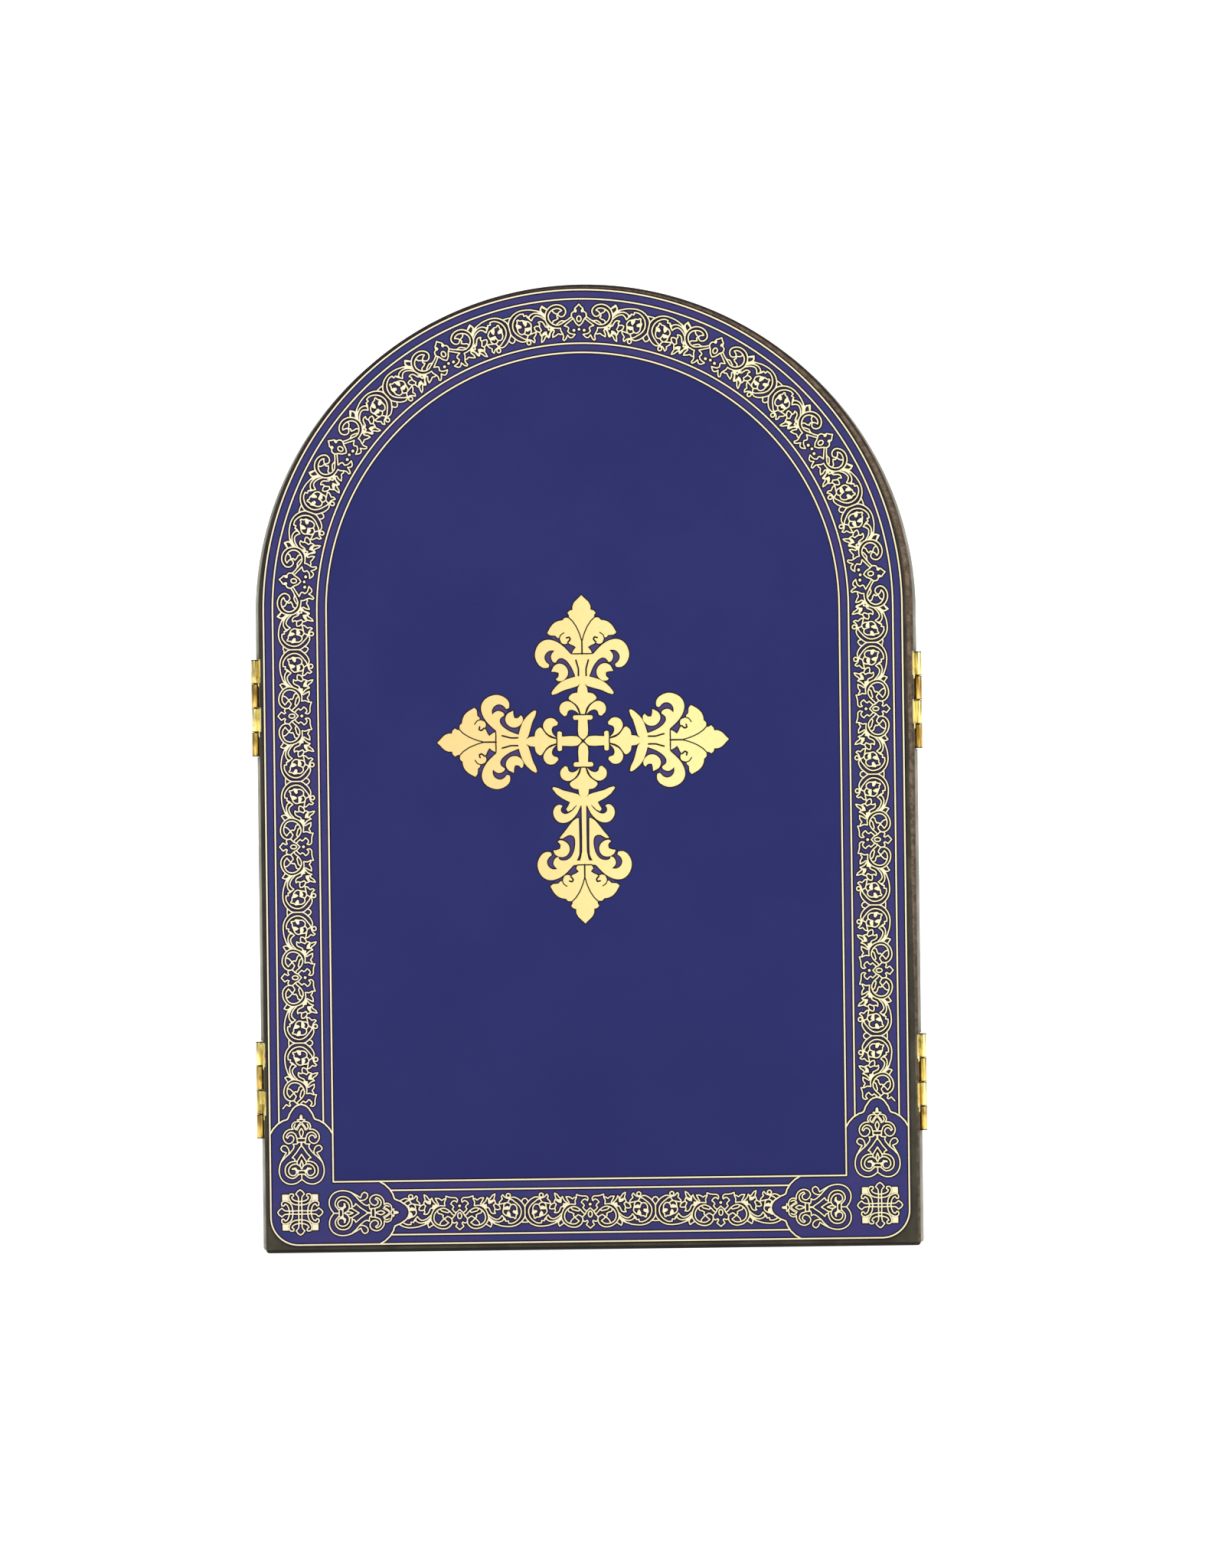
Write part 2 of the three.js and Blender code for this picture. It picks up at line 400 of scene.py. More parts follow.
def shapeArea(outline):
    # signed area of a closed outline, counter-clockwise positive
    return sum(a[0] * b[1] - b[0] * a[1] for a, b in sidesOf(outline)) / 2


def counterClockwise(outline):
    # the outline in that order, or nothing where it has no area
    area = shapeArea(outline)
    if abs(area) < drawing["leastArea"]:
        return None
    return outline if area > 0 else outline[::-1]


def leanOutline(points, edges):
    # drops outline points that lie on the straight line between their neighbours
    near = {}
    for a, b in edges:
        near.setdefault(a, set()).add(b)
        near.setdefault(b, set()).add(a)
    for here in list(near):
        if len(near[here]) != 2:
            continue
        a, b = near[here]
        chord = points[b] - points[a]
        if b in near[a] or chord.length < drawing["shortest"]:
            continue
        off = points[here] - points[a]
        if abs(chord.x * off.y - chord.y * off.x) / chord.length < drawing["flatWithin"]:
            near[a].remove(here)
            near[b].remove(here)
            near[a].add(b)
            near[b].add(a)
            del near[here]
    return [(a, b) for a in near for b in near[a] if a < b]


def windsRound(outline, spot):
    # whether an outline winds round a point, however it crosses itself
    winding = 0
    for a, b in sidesOf(outline):
        if (a.y > spot.y) != (b.y > spot.y):
            reach = a.x + (spot.y - a.y) / (b.y - a.y) * (b.x - a.x)
            if spot.x < reach:
                winding += 1 if b.y > a.y else -1
    return winding != 0


def middleOf(points):
    return sum(points, Vector((0, 0))) / len(points)


def joinFlat(shapes, cuts=(), within=None):
    # one flat patch: points and triangles covered by any shape, by no cut, and inside within
    corners, outlines, kinds = [], [], []
    everything = [(shape, "shape") for shape in shapes] + [(cut, "cut") for cut in cuts]
    if within:
        everything.append((within, "within"))
    for outline, kind in everything:
        outline = counterClockwise(outline)
        if outline:
            outlines.append(list(range(len(corners), len(corners) + len(outline))))
            corners.extend(Vector(point) for point in outline)
            kinds.append(kind)
    found = delaunay_2d_cdt(corners, [], outlines, 0, drawing["joinWithin"])
    points, triangles, sources = found[0], found[2], found[5]
    # an outline that crosses itself can spill over its rim: those are tested point by point
    times, more = drawing["spill"]
    shapesOf = [[corners[index] for index in outline] for outline in outlines]
    spread = [0.0] * len(outlines)
    for triangle, source in zip(triangles, sources):
        size = abs(shapeArea([points[index] for index in triangle]))
        for index in source:
            spread[index] += size
    spilt = {index for index, shape in enumerate(shapesOf)
             if spread[index] > times * abs(shapeArea(shape)) + more}
    sides = {}
    for triangle, source in zip(triangles, sources):
        over = {kinds[index] for index in source if index not in spilt}
        if spilt:
            middle = middleOf([points[index] for index in triangle])
            over |= {kinds[index] for index in spilt if windsRound(shapesOf[index], middle)}
        if "shape" in over and "cut" not in over and ("within" in over or not within):
            for a, b in sidesOf(triangle):
                sides[ordered(a, b)] = sides.get(ordered(a, b), 0) + 1
    rim = leanOutline(points, [pair for pair, uses in sides.items() if uses == 1])
    used = sorted({index for pair in rim for index in pair})
    place = {index: number for number, index in enumerate(used)}
    rim = [(place[a], place[b]) for a, b in rim]
    return insideRim([points[index] for index in used], rim)


def insideRim(points, rim):
    # the triangles within an outline: each region walled off by rim edges is kept when a
    # line from its largest triangle crosses the rim an odd number of times
    found = delaunay_2d_cdt(points, rim, [], 0, drawing["joinWithin"] / 10)
    flat, edges, triangles, sources = found[0], found[1], found[2], found[4]
    walls = {ordered(*edge) for edge, source in zip(edges, sources) if source}
    owners = {}
    for number, triangle in enumerate(triangles):
        for a, b in sidesOf(triangle):
            owners.setdefault(ordered(a, b), []).append(number)

    def area(triangle):
        a, b, c = (flat[index] for index in triangle)
        return abs((b - a).cross(c - a))

    def withinRim(spot):
        odd = False
        for a, b in rim:
            low, high = points[a], points[b]
            if (low.y > spot.y) != (high.y > spot.y):
                rise = (spot.y - low.y) / (high.y - low.y)
                if spot.x < low.x + rise * (high.x - low.x):
                    odd = not odd
        return odd

    seen, kept = set(), []
    for first in range(len(triangles)):
        region, waiting = [], [first]
        while waiting:
            number = waiting.pop()
            if number in seen:
                continue
            seen.add(number)
            triangle = triangles[number]
            region.append(triangle)
            for a, b in sidesOf(triangle):
                if ordered(a, b) not in walls:
                    waiting += owners[ordered(a, b)]
        if region:
            largest = max(region, key=area)
            if withinRim(middleOf([flat[index] for index in largest])):
                kept += region
    return flat, kept


def bent(patch, place):
    # a copy of a flat patch with every point put through place
    points, triangles = patch
    return [place(point) for point in points], triangles


def inlay(patches, face, height, outward=-1):
    # a thin closed layer of ornament standing height above the sheet's face
    vertices, faces = [], []
    topY = face + outward * height * mm
    for points, triangles in patches:
        first = len(vertices)
        vertices += [(point[0] * mm, topY, point[1] * mm) for point in points]
        for triangle in triangles:
            turned = counterClockwise([(*points[index], index) for index in triangle])
            if turned:
                order = [first + corner[2] for corner in turned]
                faces.append(order if outward < 0 else order[::-1])
    mesh = bpy.data.meshes.new("inlay")
    mesh.from_pydata(vertices, [], faces)
    piece = bpy.data.objects.new("inlay", mesh)
    bpy.context.scene.collection.objects.link(piece)
    applyModifier(piece, "WELD", merge_threshold=drawing["weldWithin"] * mm)
    applyModifier(piece, "SOLIDIFY", thickness=(height + drawing["sunk"]) * mm, offset=-1,
                  use_even_offset=False)
    return piece


class Drawing:
    # lines and filled shapes of one ornament, and the same ornament mirrored, turned or moved
    def __init__(self):
        self.lines = []
        self.fills = []
        self.cuts = []
        self.grounds = []

    def line(self, points, width=1.0, closed=False):
        self.lines.append((runThrough(points, closed), width, closed))

    def ring(self, centre, halfWidth, halfHeight):
        self.line(ellipse(centre, halfWidth, halfHeight, drawing["ringSides"]), closed=True)

    def fill(self, points):
        self.fills.append(runThrough(points, True))

    def dot(self, centre, radius):
        self.fill(ellipse(centre, radius, radius, drawing["dotSides"]))

    def ground(self, points):
        # a patch enclosed by the gold, printed lighter than the field
        self.grounds.append([Vector(point) for point in points])

    def cut(self, points, width):
        # a slit in the gold that shows the dark layer below
        self.cuts.append((runThrough(points), width))

    def moved(self, place):
        # a copy whose points all go through place
        def through(points):
            return [place(point) for point in points]
        copy = Drawing()
        copy.lines = [(through(path), width, closed) for path, width, closed in self.lines]
        copy.fills = [through(outline) for outline in self.fills]
        copy.cuts = [(through(path), width) for path, width in self.cuts]
        copy.grounds = [through(outline) for outline in self.grounds]
        return copy

    def add(self, *others):
        for other in others:
            self.lines += other.lines
            self.fills += other.fills
            self.cuts += other.cuts
            self.grounds += other.grounds
        return self

    def shapes(self, lineWidth, margin=0.0):
        # every outline, with a margin all round where one is asked for
        found = list(self.fills)
        if margin:
            for outline in self.fills:
                found += ribbon(outline, 2 * margin, closed=True)
        for path, width, closed in self.lines:
            found += ribbon(path, width * lineWidth + 2 * margin, closed)
        return found

    def slits(self):
        return [strip for path, width in self.cuts for strip in ribbon(path, width)]


def mirrored(point):
    return Vector((-point[0], point[1]))


def quarterTurns(number):
    # turns a point about the origin by that many right angles
    angle = number * rightAngle
    c, s = round(math.cos(angle)), round(math.sin(angle))
    return lambda point: Vector((point[0] * c - point[1] * s, point[0] * s + point[1] * c))


print("triptych: helpers ready")

# Half a repeat of the vine border: across the drawing from the line between two big rings (0)
# to the flower (14.13), down it from the outer border line towards the field.
vine = {
    "half": 14.13,
    "depths": (-1, 11),     # how deep the drawing may reach
    "lineWidth": 0.25,
    "keyAndShadowMargin": 0.27,      # dark outline round the gold: partly printed keyline, partly painted shadow of the raised gold
    "archNarrow": 0.935,    # the same drawing fitted to the tighter repeat of the arch
    "archTall": 1.06,
    "archMiddle": 4.8,
}


def bigRingHalf():
    # half of the two big rings with the flower and the leaves round them
    half = Drawing()
    half.line([(0, 4.7), (0, 3.75), (0.4, 2.9), (1.4, 2.0), (2.5, 1.55), (3.6, 1.45), (5.2, 1.65),
               (6.5, 2.08), (7.4, 2.55), (7.85, 3.05), (7.9, 3.5)])
    half.line([(0, 4.7), (0, 5.7), (0.35, 6.35), (1.05, 7.15), (1.9, 7.7), (2.6, 7.85), (3.2, 7.6)])
    half.line([(0, 2.35), (0.65, 2.4)])
    half.line([(0.68, 6.85), (0.45, 7.35), (0, 7.58)])
    half.line([(3.6, 2.7), (3.55, 2.17), (2.9, 2.13), (2.1, 2.45), (1.3, 3.15), (0.86, 4.1),
               (0.82, 5.1), (1.3, 6.05), (2.0, 6.7), (2.7, 7.25), (3.4, 7.5)])
    # toothed leaf and the two lines of its stem
    half.line([(3.6, 2.7), (4.15, 2.6), (4.27, 3.05), (4.65, 3.5), (5.0, 3.9)])
    half.line([(5.0, 3.9), (5.3, 3.45), (5.9, 3.05), (6.6, 3.17), (7.3, 3.58), (8.0, 4.25)])
    half.line([(4.65, 2.95), (5.05, 2.64), (5.8, 2.45), (6.6, 2.62), (7.3, 3.0), (7.85, 3.6)])
    half.fill([(4.2, 2.75), (4.7, 2.95), (4.75, 3.35), (4.4, 3.3)])
    half.fill([(6.4, 2.2), (7.3, 2.4), (7.8, 2.8), (7.95, 3.7), (7.5, 3.35), (7.0, 2.85)])
    # flower inside the ring
    half.line([(1.6, 4.25), (1.92, 3.85), (2.0, 3.25), (2.25, 3.17), (2.55, 3.47), (3.1, 3.45),
               (3.45, 3.65), (4.2, 3.92), (4.75, 4.55), (4.7, 5.15), (4.58, 5.6), (4.55, 6.15),
               (4.25, 6.5)])
    half.line([(1.6, 4.25), (1.72, 4.9), (1.72, 5.5), (2.1, 6.12), (2.65, 6.28), (3.15, 5.98),
               (3.4, 5.2)])
    half.fill([(3.05, 3.5), (3.15, 4.25), (3.5, 4.85), (3.85, 4.55), (3.98, 3.95)])
    half.fill([(1.5, 4.2), (2.1, 4.15), (2.7, 4.6), (2.55, 4.98), (1.75, 4.95)])
    half.fill([(3.3, 5.1), (4.65, 5.15), (4.5, 5.6), (3.75, 5.95), (3.35, 5.6)])
    half.line([(3.0, 6.2), (3.3, 6.5), (3.75, 6.68)])
    half.line([(3.35, 7.4), (3.7, 6.75), (4.3, 6.58), (4.9, 6.45), (5.6, 6.3)])
    half.line([(5.6, 6.3), (5.45, 6.85), (4.85, 7.45), (5.05, 7.95), (4.78, 8.4), (4.35, 7.9),
               (3.9, 7.65), (3.3, 7.55)])
    half.ring((3.57, 8.2), 0.44, 0.44)
    # small leaf with a hole, and the two sprays beyond it
    half.line([(5.35, 5.3), (5.4, 5.75), (5.8, 6.22), (6.35, 6.5)])
    half.line([(5.35, 5.3), (5.8, 5.15), (6.45, 5.25), (6.62, 5.8), (6.82, 6.15), (6.4, 6.5)])
    half.line([(6.48, 5.25), (6.6, 4.8), (6.35, 4.4), (6.85, 4.32), (7.3, 4.55), (7.6, 5.1),
               (7.85, 5.6), (8.25, 5.72), (8.4, 6.3), (8.9, 6.1)])
    half.line([(6.35, 6.5), (6.45, 7.0), (6.7, 7.47), (6.52, 8.1), (6.47, 8.6), (7.0, 8.3),
               (7.5, 7.6), (7.9, 7.5), (8.15, 7.85), (8.3, 7.4), (8.65, 6.85), (9.2, 6.4)])
    half.line([(7.85, 7.5), (7.8, 6.57), (7.3, 6.68), (6.65, 7.2)])
    half.fill([(7.0, 6.9), (7.75, 6.65), (7.85, 7.5), (7.35, 7.2), (6.85, 7.5)])
    half.line([(7.45, 2.6), (7.2, 2.05), (7.47, 1.4), (7.9, 1.72), (8.45, 2.07)])
    return half


def flowerHalf():
    # the half of a repeat beyond the big ring, with the flower of the straight borders
    half = Drawing()
    half.fill([(8.2, 5.35), (9.0, 5.7), (9.6, 6.1), (9.1, 6.5), (8.45, 6.2)])
    # star leaf
    half.line([(9.3, 6.1), (9.6, 6.5), (9.2, 7.15), (8.9, 7.8), (9.6, 7.77), (10.3, 7.3),
               (10.75, 7.62), (11.15, 7.62), (11.2, 8.25), (11.8, 8.02), (12.4, 7.9),
               (13.2, 7.9), (13.68, 7.45), (13.55, 6.85), (13.1, 7.22), (12.6, 7.05),
               (12.2, 6.55), (12.65, 6.17), (12.87, 5.8), (12.52, 5.4)])
    half.line([(10.95, 6.1), (10.85, 6.85), (11.2, 7.6)])
    # small ring, outside and inside
    half.line([(10.95, 6.1), (10.0, 6.18), (9.2, 5.93), (8.5, 5.25), (8.05, 4.35), (7.88, 3.35),
               (8.1, 2.65), (8.6, 1.97), (9.4, 1.4), (10.4, 1.14), (11.3, 1.23), (12.1, 1.75),
               (12.5, 2.6), (12.3, 3.4), (11.5, 3.85), (10.8, 3.3)])
    half.line([(12.4, 3.2), (12.65, 3.55), (13.05, 3.95)])
    half.line([(10.75, 3.35), (11.2, 2.9), (11.75, 2.45), (11.1, 1.95), (10.2, 1.85), (9.3, 2.15),
               (8.7, 2.8), (8.55, 3.7), (8.8, 4.5), (9.35, 5.15), (10.2, 5.58), (11.1, 5.53),
               (12.0, 4.95), (12.6, 4.25), (13.05, 3.95)])
    half.line([(9.8, 1.95), (9.95, 2.5), (10.4, 3.0), (10.75, 3.35), (10.48, 3.7), (10.6, 4.05),
               (10.1, 4.35), (9.55, 4.5), (9.3, 5.05)])
    half.line([(9.95, 5.45), (10.35, 4.97), (11.0, 4.8), (11.6, 4.65), (11.95, 5.0)])
    # flower head
    half.line([(14.13, 0.9), (13.6, 1.35), (13.25, 1.65), (13.65, 2.3), (13.45, 2.6),
               (12.95, 2.35), (12.45, 2.65)])
    half.line([(13.05, 3.95), (13.4, 4.65), (14.13, 5.33)])
    half.line([(13.3, 4.58), (12.9, 4.95), (12.52, 5.4)])
    half.ring((14.13, 3.95), 0.43, 0.65)
    half.dot((14.13, 6.1), 0.3)
    return half


def archFlowerHalf():
    # the same half as it is drawn round the arch
    half = Drawing()
    half.line([(6.6, 2.4), (6.75, 1.6), (7.1, 1.0), (7.5, 1.4), (7.95, 1.92)])
    half.fill([(6.4, 2.3), (7.1, 2.8), (7.6, 2.9), (7.5, 3.8), (7.0, 3.1), (6.5, 2.7)])
    half.line([(9.8, 6.2), (9.0, 6.05), (8.3, 5.65), (7.75, 5.0), (7.45, 4.2), (7.45, 3.4),
               (7.65, 2.6), (8.1, 1.85), (8.8, 1.28), (9.7, 1.05), (10.6, 1.25), (11.3, 1.85),
               (11.57, 2.6), (11.3, 3.4), (10.7, 3.75), (10.2, 3.5), (9.98, 3.15)])
    half.line([(9.98, 3.15), (10.2, 2.75), (10.8, 2.4), (10.4, 2.0), (9.7, 1.87), (9.0, 2.1),
               (8.4, 2.6), (8.07, 3.4), (8.15, 4.2), (8.6, 4.95), (9.3, 5.42), (10.1, 5.47),
               (10.9, 5.05), (11.35, 4.8)])
    half.line([(8.95, 2.1), (9.25, 2.75), (9.98, 3.15), (9.75, 3.55), (10.0, 4.0), (9.55, 4.33),
               (9.0, 4.5), (8.75, 5.05)])
    half.line([(9.65, 5.25), (10.1, 4.9), (10.7, 4.6), (11.2, 4.75), (11.9, 4.45), (12.65, 3.85)])
    half.fill([(11.0, 4.65), (11.5, 4.6), (11.4, 4.95), (10.9, 5.1)])
    half.line([(12.85, 4.35), (12.1, 4.95), (11.5, 5.45), (11.1, 5.75), (11.8, 6.05),
               (12.0, 6.4), (11.75, 6.95), (12.1, 7.4), (12.7, 7.63), (13.3, 7.72), (12.8, 8.3),
               (12.2, 8.4), (11.7, 7.8), (11.3, 8.6), (10.9, 8.95), (10.63, 8.75), (10.83, 8.1),
               (10.7, 7.5), (10.35, 6.8), (10.3, 6.17), (9.8, 6.2)])
    half.line([(10.6, 7.5), (10.2, 7.58), (9.8, 7.38), (9.3, 7.72), (8.55, 8.05), (8.6, 7.45),
               (9.0, 6.7), (8.6, 6.2)])
    half.line([(8.5, 6.0), (8.2, 6.7), (8.0, 7.4), (7.8, 7.95), (7.4, 7.5)])
    half.fill([(7.4, 5.1), (8.3, 5.7), (9.2, 6.15), (8.6, 6.5), (8.1, 5.8), (7.65, 5.95)])
    half.line([(14.13, 1.15), (13.8, 1.6), (13.35, 2.05)])
    half.fill([(13.3, 2.05), (13.65, 2.3), (13.72, 2.8), (13.45, 3.0), (13.15, 2.7), (13.2, 2.3)])
    half.line([(13.2, 2.75), (12.8, 3.0), (12.65, 3.45), (12.7, 3.95), (13.05, 4.35), (13.5, 5.3),
               (14.13, 5.87)])
    half.ring((14.13, 4.33), 0.43, 0.62)
    half.dot((14.13, 6.63), 0.28)
    half.dot((13.07, 6.83), 0.3)
    return half


def fitToArch(point):
    middle = vine["archMiddle"]
    tall = middle + (point[1] - middle) * vine["archTall"]
    return Vector((point[0] * vine["archNarrow"], tall))


straightHalf = bigRingHalf().add(flowerHalf())
archHalf = bigRingHalf().moved(fitToArch).add(archFlowerHalf())


# The layout of the printed sheet on the back
sheetLo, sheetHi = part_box("back_sheet")
printed = {
    "sheetCorner": 6.3,
    "edge": 0.3,            # blue left outside the outermost gold line
    "lineWidth": 0.3,
    "borderLines": (0, 2.0, 11.65, 13.65),  # how far each line lies inside the outermost
    "cornerRadius": 6.0,
    "cornerSteps": 14,
    "arcSteps": 120,
    "trimStep": 0.05,       # the steps in which a line's end is looked for
    "vineRadius": 58.0,     # where the vine's repeat is true to size on the arch
    "archRepeat": 28.25,
    "straightRepeat": 28.45,
    "archFlowers": 3,       # on each side of the crown
    "straightFlowers": 4,
    "firstStraight": 22.5,  # from the springing down to the first straight flower
    "bottomRepeat": 28.4,
    "ogeeFoot": 24.4,       # foot of the side border's ogee above the outermost line
    "ogeeFootFromMiddle": 45.5,
    "bottomBandHalf": 6.95,     # half the height of the border along the bottom
}
printX = (sheetLo.x + sheetHi.x) / 2 / mm
outerRadius = (sheetHi.x - sheetLo.x) / 2 / mm - printed["edge"]
printBottom = sheetLo.z / mm + printed["edge"]
printSpring = sheetHi.z / mm - printed["edge"] - outerRadius
bandMiddle = (printed["borderLines"][0] + printed["borderLines"][3]) / 2
quarterArch = printed["vineRadius"] * rightAngle   # from the crown to the springing


def onPrint(point):
    # from print measures, across from the middle and up from the bottom line
    return Vector((point[0] + printX, point[1] + printBottom))


def alongBorder(side):
    # from (distance down from the crown, depth inside the second line) to the sheet
    def place(point):
        along, depth = point[0], point[1]
        radius = outerRadius - printed["borderLines"][1] - depth
        angle = min(along, quarterArch) / printed["vineRadius"]
        return Vector((printX + side * radius * math.sin(angle),
                       printSpring + radius * math.cos(angle) - max(along - quarterArch, 0)))
    return place


# Half the outline of an ogee: across from its axis, up from its foot
ogeeHalf = runThrough([(0, 6.2), (0.9, 5.95), (1.7, 5.3), (2.5, 4.1), (2.95, 3.0), (3.9, 2.68),
                       (5.1, 1.95), (6.1, 0.9), (6.83, -0.3)])
ogeeOutline = [mirrored(point) for point in ogeeHalf[:0:-1]] + ogeeHalf


def sideOgee(side):
    # the ogee over a side palmette, on the sheet
    axis = side * (outerRadius - bandMiddle)
    return [onPrint((axis + point.x, printed["ogeeFoot"] + point.y)) for point in ogeeOutline]


def bottomOgee(side):
    # the ogee beside a bottom palmette, on the sheet
    foot = printed["ogeeFootFromMiddle"]
    return [onPrint((side * (foot - point.y), bandMiddle + point.x)) for point in ogeeOutline]


def ogeeHeight(across):
    # how high the ogee stands above its foot at a distance from its axis
    across = abs(across)
    for a, b in zip(ogeeHalf, ogeeHalf[1:]):
        if a.x <= across <= b.x:
            share = (across - a.x) / max(b.x - a.x, 1e-6)
            return a.y + (b.y - a.y) * share
    return 0.0


def clearOfOgees(point):
    # true where the border shows: above the side ogees, between the bottom ones
    across = point[0] - printX
    up = point[1] - printBottom
    axis = outerRadius - bandMiddle
    if up < bandMiddle + printed["bottomBandHalf"]:
        return abs(across) < printed["ogeeFootFromMiddle"] - ogeeHeight(up - bandMiddle)
    if abs(across) > axis - bandMiddle:
        return up > printed["ogeeFoot"] + ogeeHeight(abs(across) - axis)
    return True


def layVine(margin=0.0):
    # flat patches of the whole border: each half repeat joined once, then bent into place
    half = vine["half"]
    top, bottom = vine["depths"]
    block = [(0, top), (half, top), (half, bottom), (0, bottom)]
    width = vine["lineWidth"]
    straight = joinFlat(straightHalf.shapes(width, margin), within=block)
    arched = joinFlat(archHalf.shapes(width, margin), within=block)
    patches = []

    def lay(patch, ringMiddle, direction, reach):
        stretch = direction * reach / half
        for side in (-1, 1):
            border = alongBorder(side)
            patches.append(bent(patch, lambda point: border(
                (ringMiddle + stretch * point[0], point[1]))))

    reach = printed["archRepeat"] / 2
    for number in range(printed["archFlowers"]):
        for direction in (-1, 1):
            lay(arched, (2 * number + 1) * reach, direction, reach)
    lastArch = 2 * reach * printed["archFlowers"]
    firstStraight = quarterArch + printed["firstStraight"]
    reach = (firstStraight - lastArch) / 2
    lay(arched, lastArch + reach, -1, reach)
    lay(straight, lastArch + reach, 1, reach)
    reach = printed["straightRepeat"] / 2
    for number in range(1, printed["straightFlowers"]):
        ringMiddle = firstStraight + (2 * number - 1) * reach
        lay(straight, ringMiddle, -1, reach)
        if number < printed["straightFlowers"] - 1:
            lay(straight, ringMiddle, 1, reach)
    lastRing = firstStraight + (2 * printed["straightFlowers"] - 3) * reach
    bottomReach = printed["bottomRepeat"] / 2

    def alongBottom(side, ringMiddle, direction):
        stretch = direction * bottomReach / half
        return lambda point: onPrint((side * (ringMiddle + stretch * point[0]),
                                      printed["borderLines"][1] + point[1]))

    for side in (-1, 1):
        for direction in (-1, 1):
            patches.append(bent(straight, alongBottom(side, bottomReach, direction)))
        # the halves that an ogee cuts off are joined where they lie
        border = alongBorder(side)
        head = [border((lastRing, depth)) for depth in vine["depths"]]
        arch = sideOgee(side)
        arch = arch if head[1].x < head[0].x else arch[::-1]
        shapes = straightHalf.moved(lambda point: border(
            (lastRing + point[0] * reach / half, point[1]))).shapes(width, margin)
        patches.append(joinFlat(shapes, within=head + arch))
        level = bottomOgee(side)
        start = onPrint((side * 2 * bottomReach, 0)).x
        within = [Vector((start, level[0].y))] + level + [Vector((start, level[-1].y))]
        place = alongBottom(side, 3 * bottomReach, -1)
        shapes = straightHalf.moved(place).shapes(width, margin)
        patches.append(joinFlat(shapes, within=within))
    return patches


def layBorderLines():
    # the four gold lines round the sheet and the ogees that end the vine
    border = Drawing()
    width = printed["lineWidth"] / vine["lineWidth"]
    steps = printed["arcSteps"]
    for number, inside in enumerate(printed["borderLines"]):
        radius = outerRadius - inside
        path = [Vector((printX + radius * math.cos(a), printSpring + radius * math.sin(a)))
                for a in (math.pi * step / steps for step in range(steps + 1))]
        if number in (0, 3):
            # the outermost and the innermost line run all round
            corner = 0 if number else printed["cornerRadius"]
            turns = 0 if number else printed["cornerSteps"]
            for side, start in ((-1, math.pi), (1, 1.5 * math.pi)):
                centre = Vector((printX + side * (radius - corner),
                                 printBottom + inside + corner))
                angles = [start + rightAngle * step / printed["cornerSteps"]
                          for step in range(turns + 1)]
                path += [centre + corner * Vector((math.cos(a), math.sin(a))) for a in angles]
            border.lines.append((path, width, True))
            continue
        # the two between stop at the ogees
        down = path[-1].y
        while clearOfOgees(Vector((printX - radius, down))):
            down -= printed["trimStep"]
        right, left = (Vector((printX + side * radius, down)) for side in (1, -1))
        border.lines.append(([right] + path + [left], width, False))
        end = 0
        while clearOfOgees(onPrint((end, inside))):
            end += printed["trimStep"]
        border.lines.append(([onPrint((-end, inside)), onPrint((end, inside))], width, False))
    for side in (-1, 1):
        border.lines += [(sideOgee(side), width, False), (bottomOgee(side), width, False)]
    return border


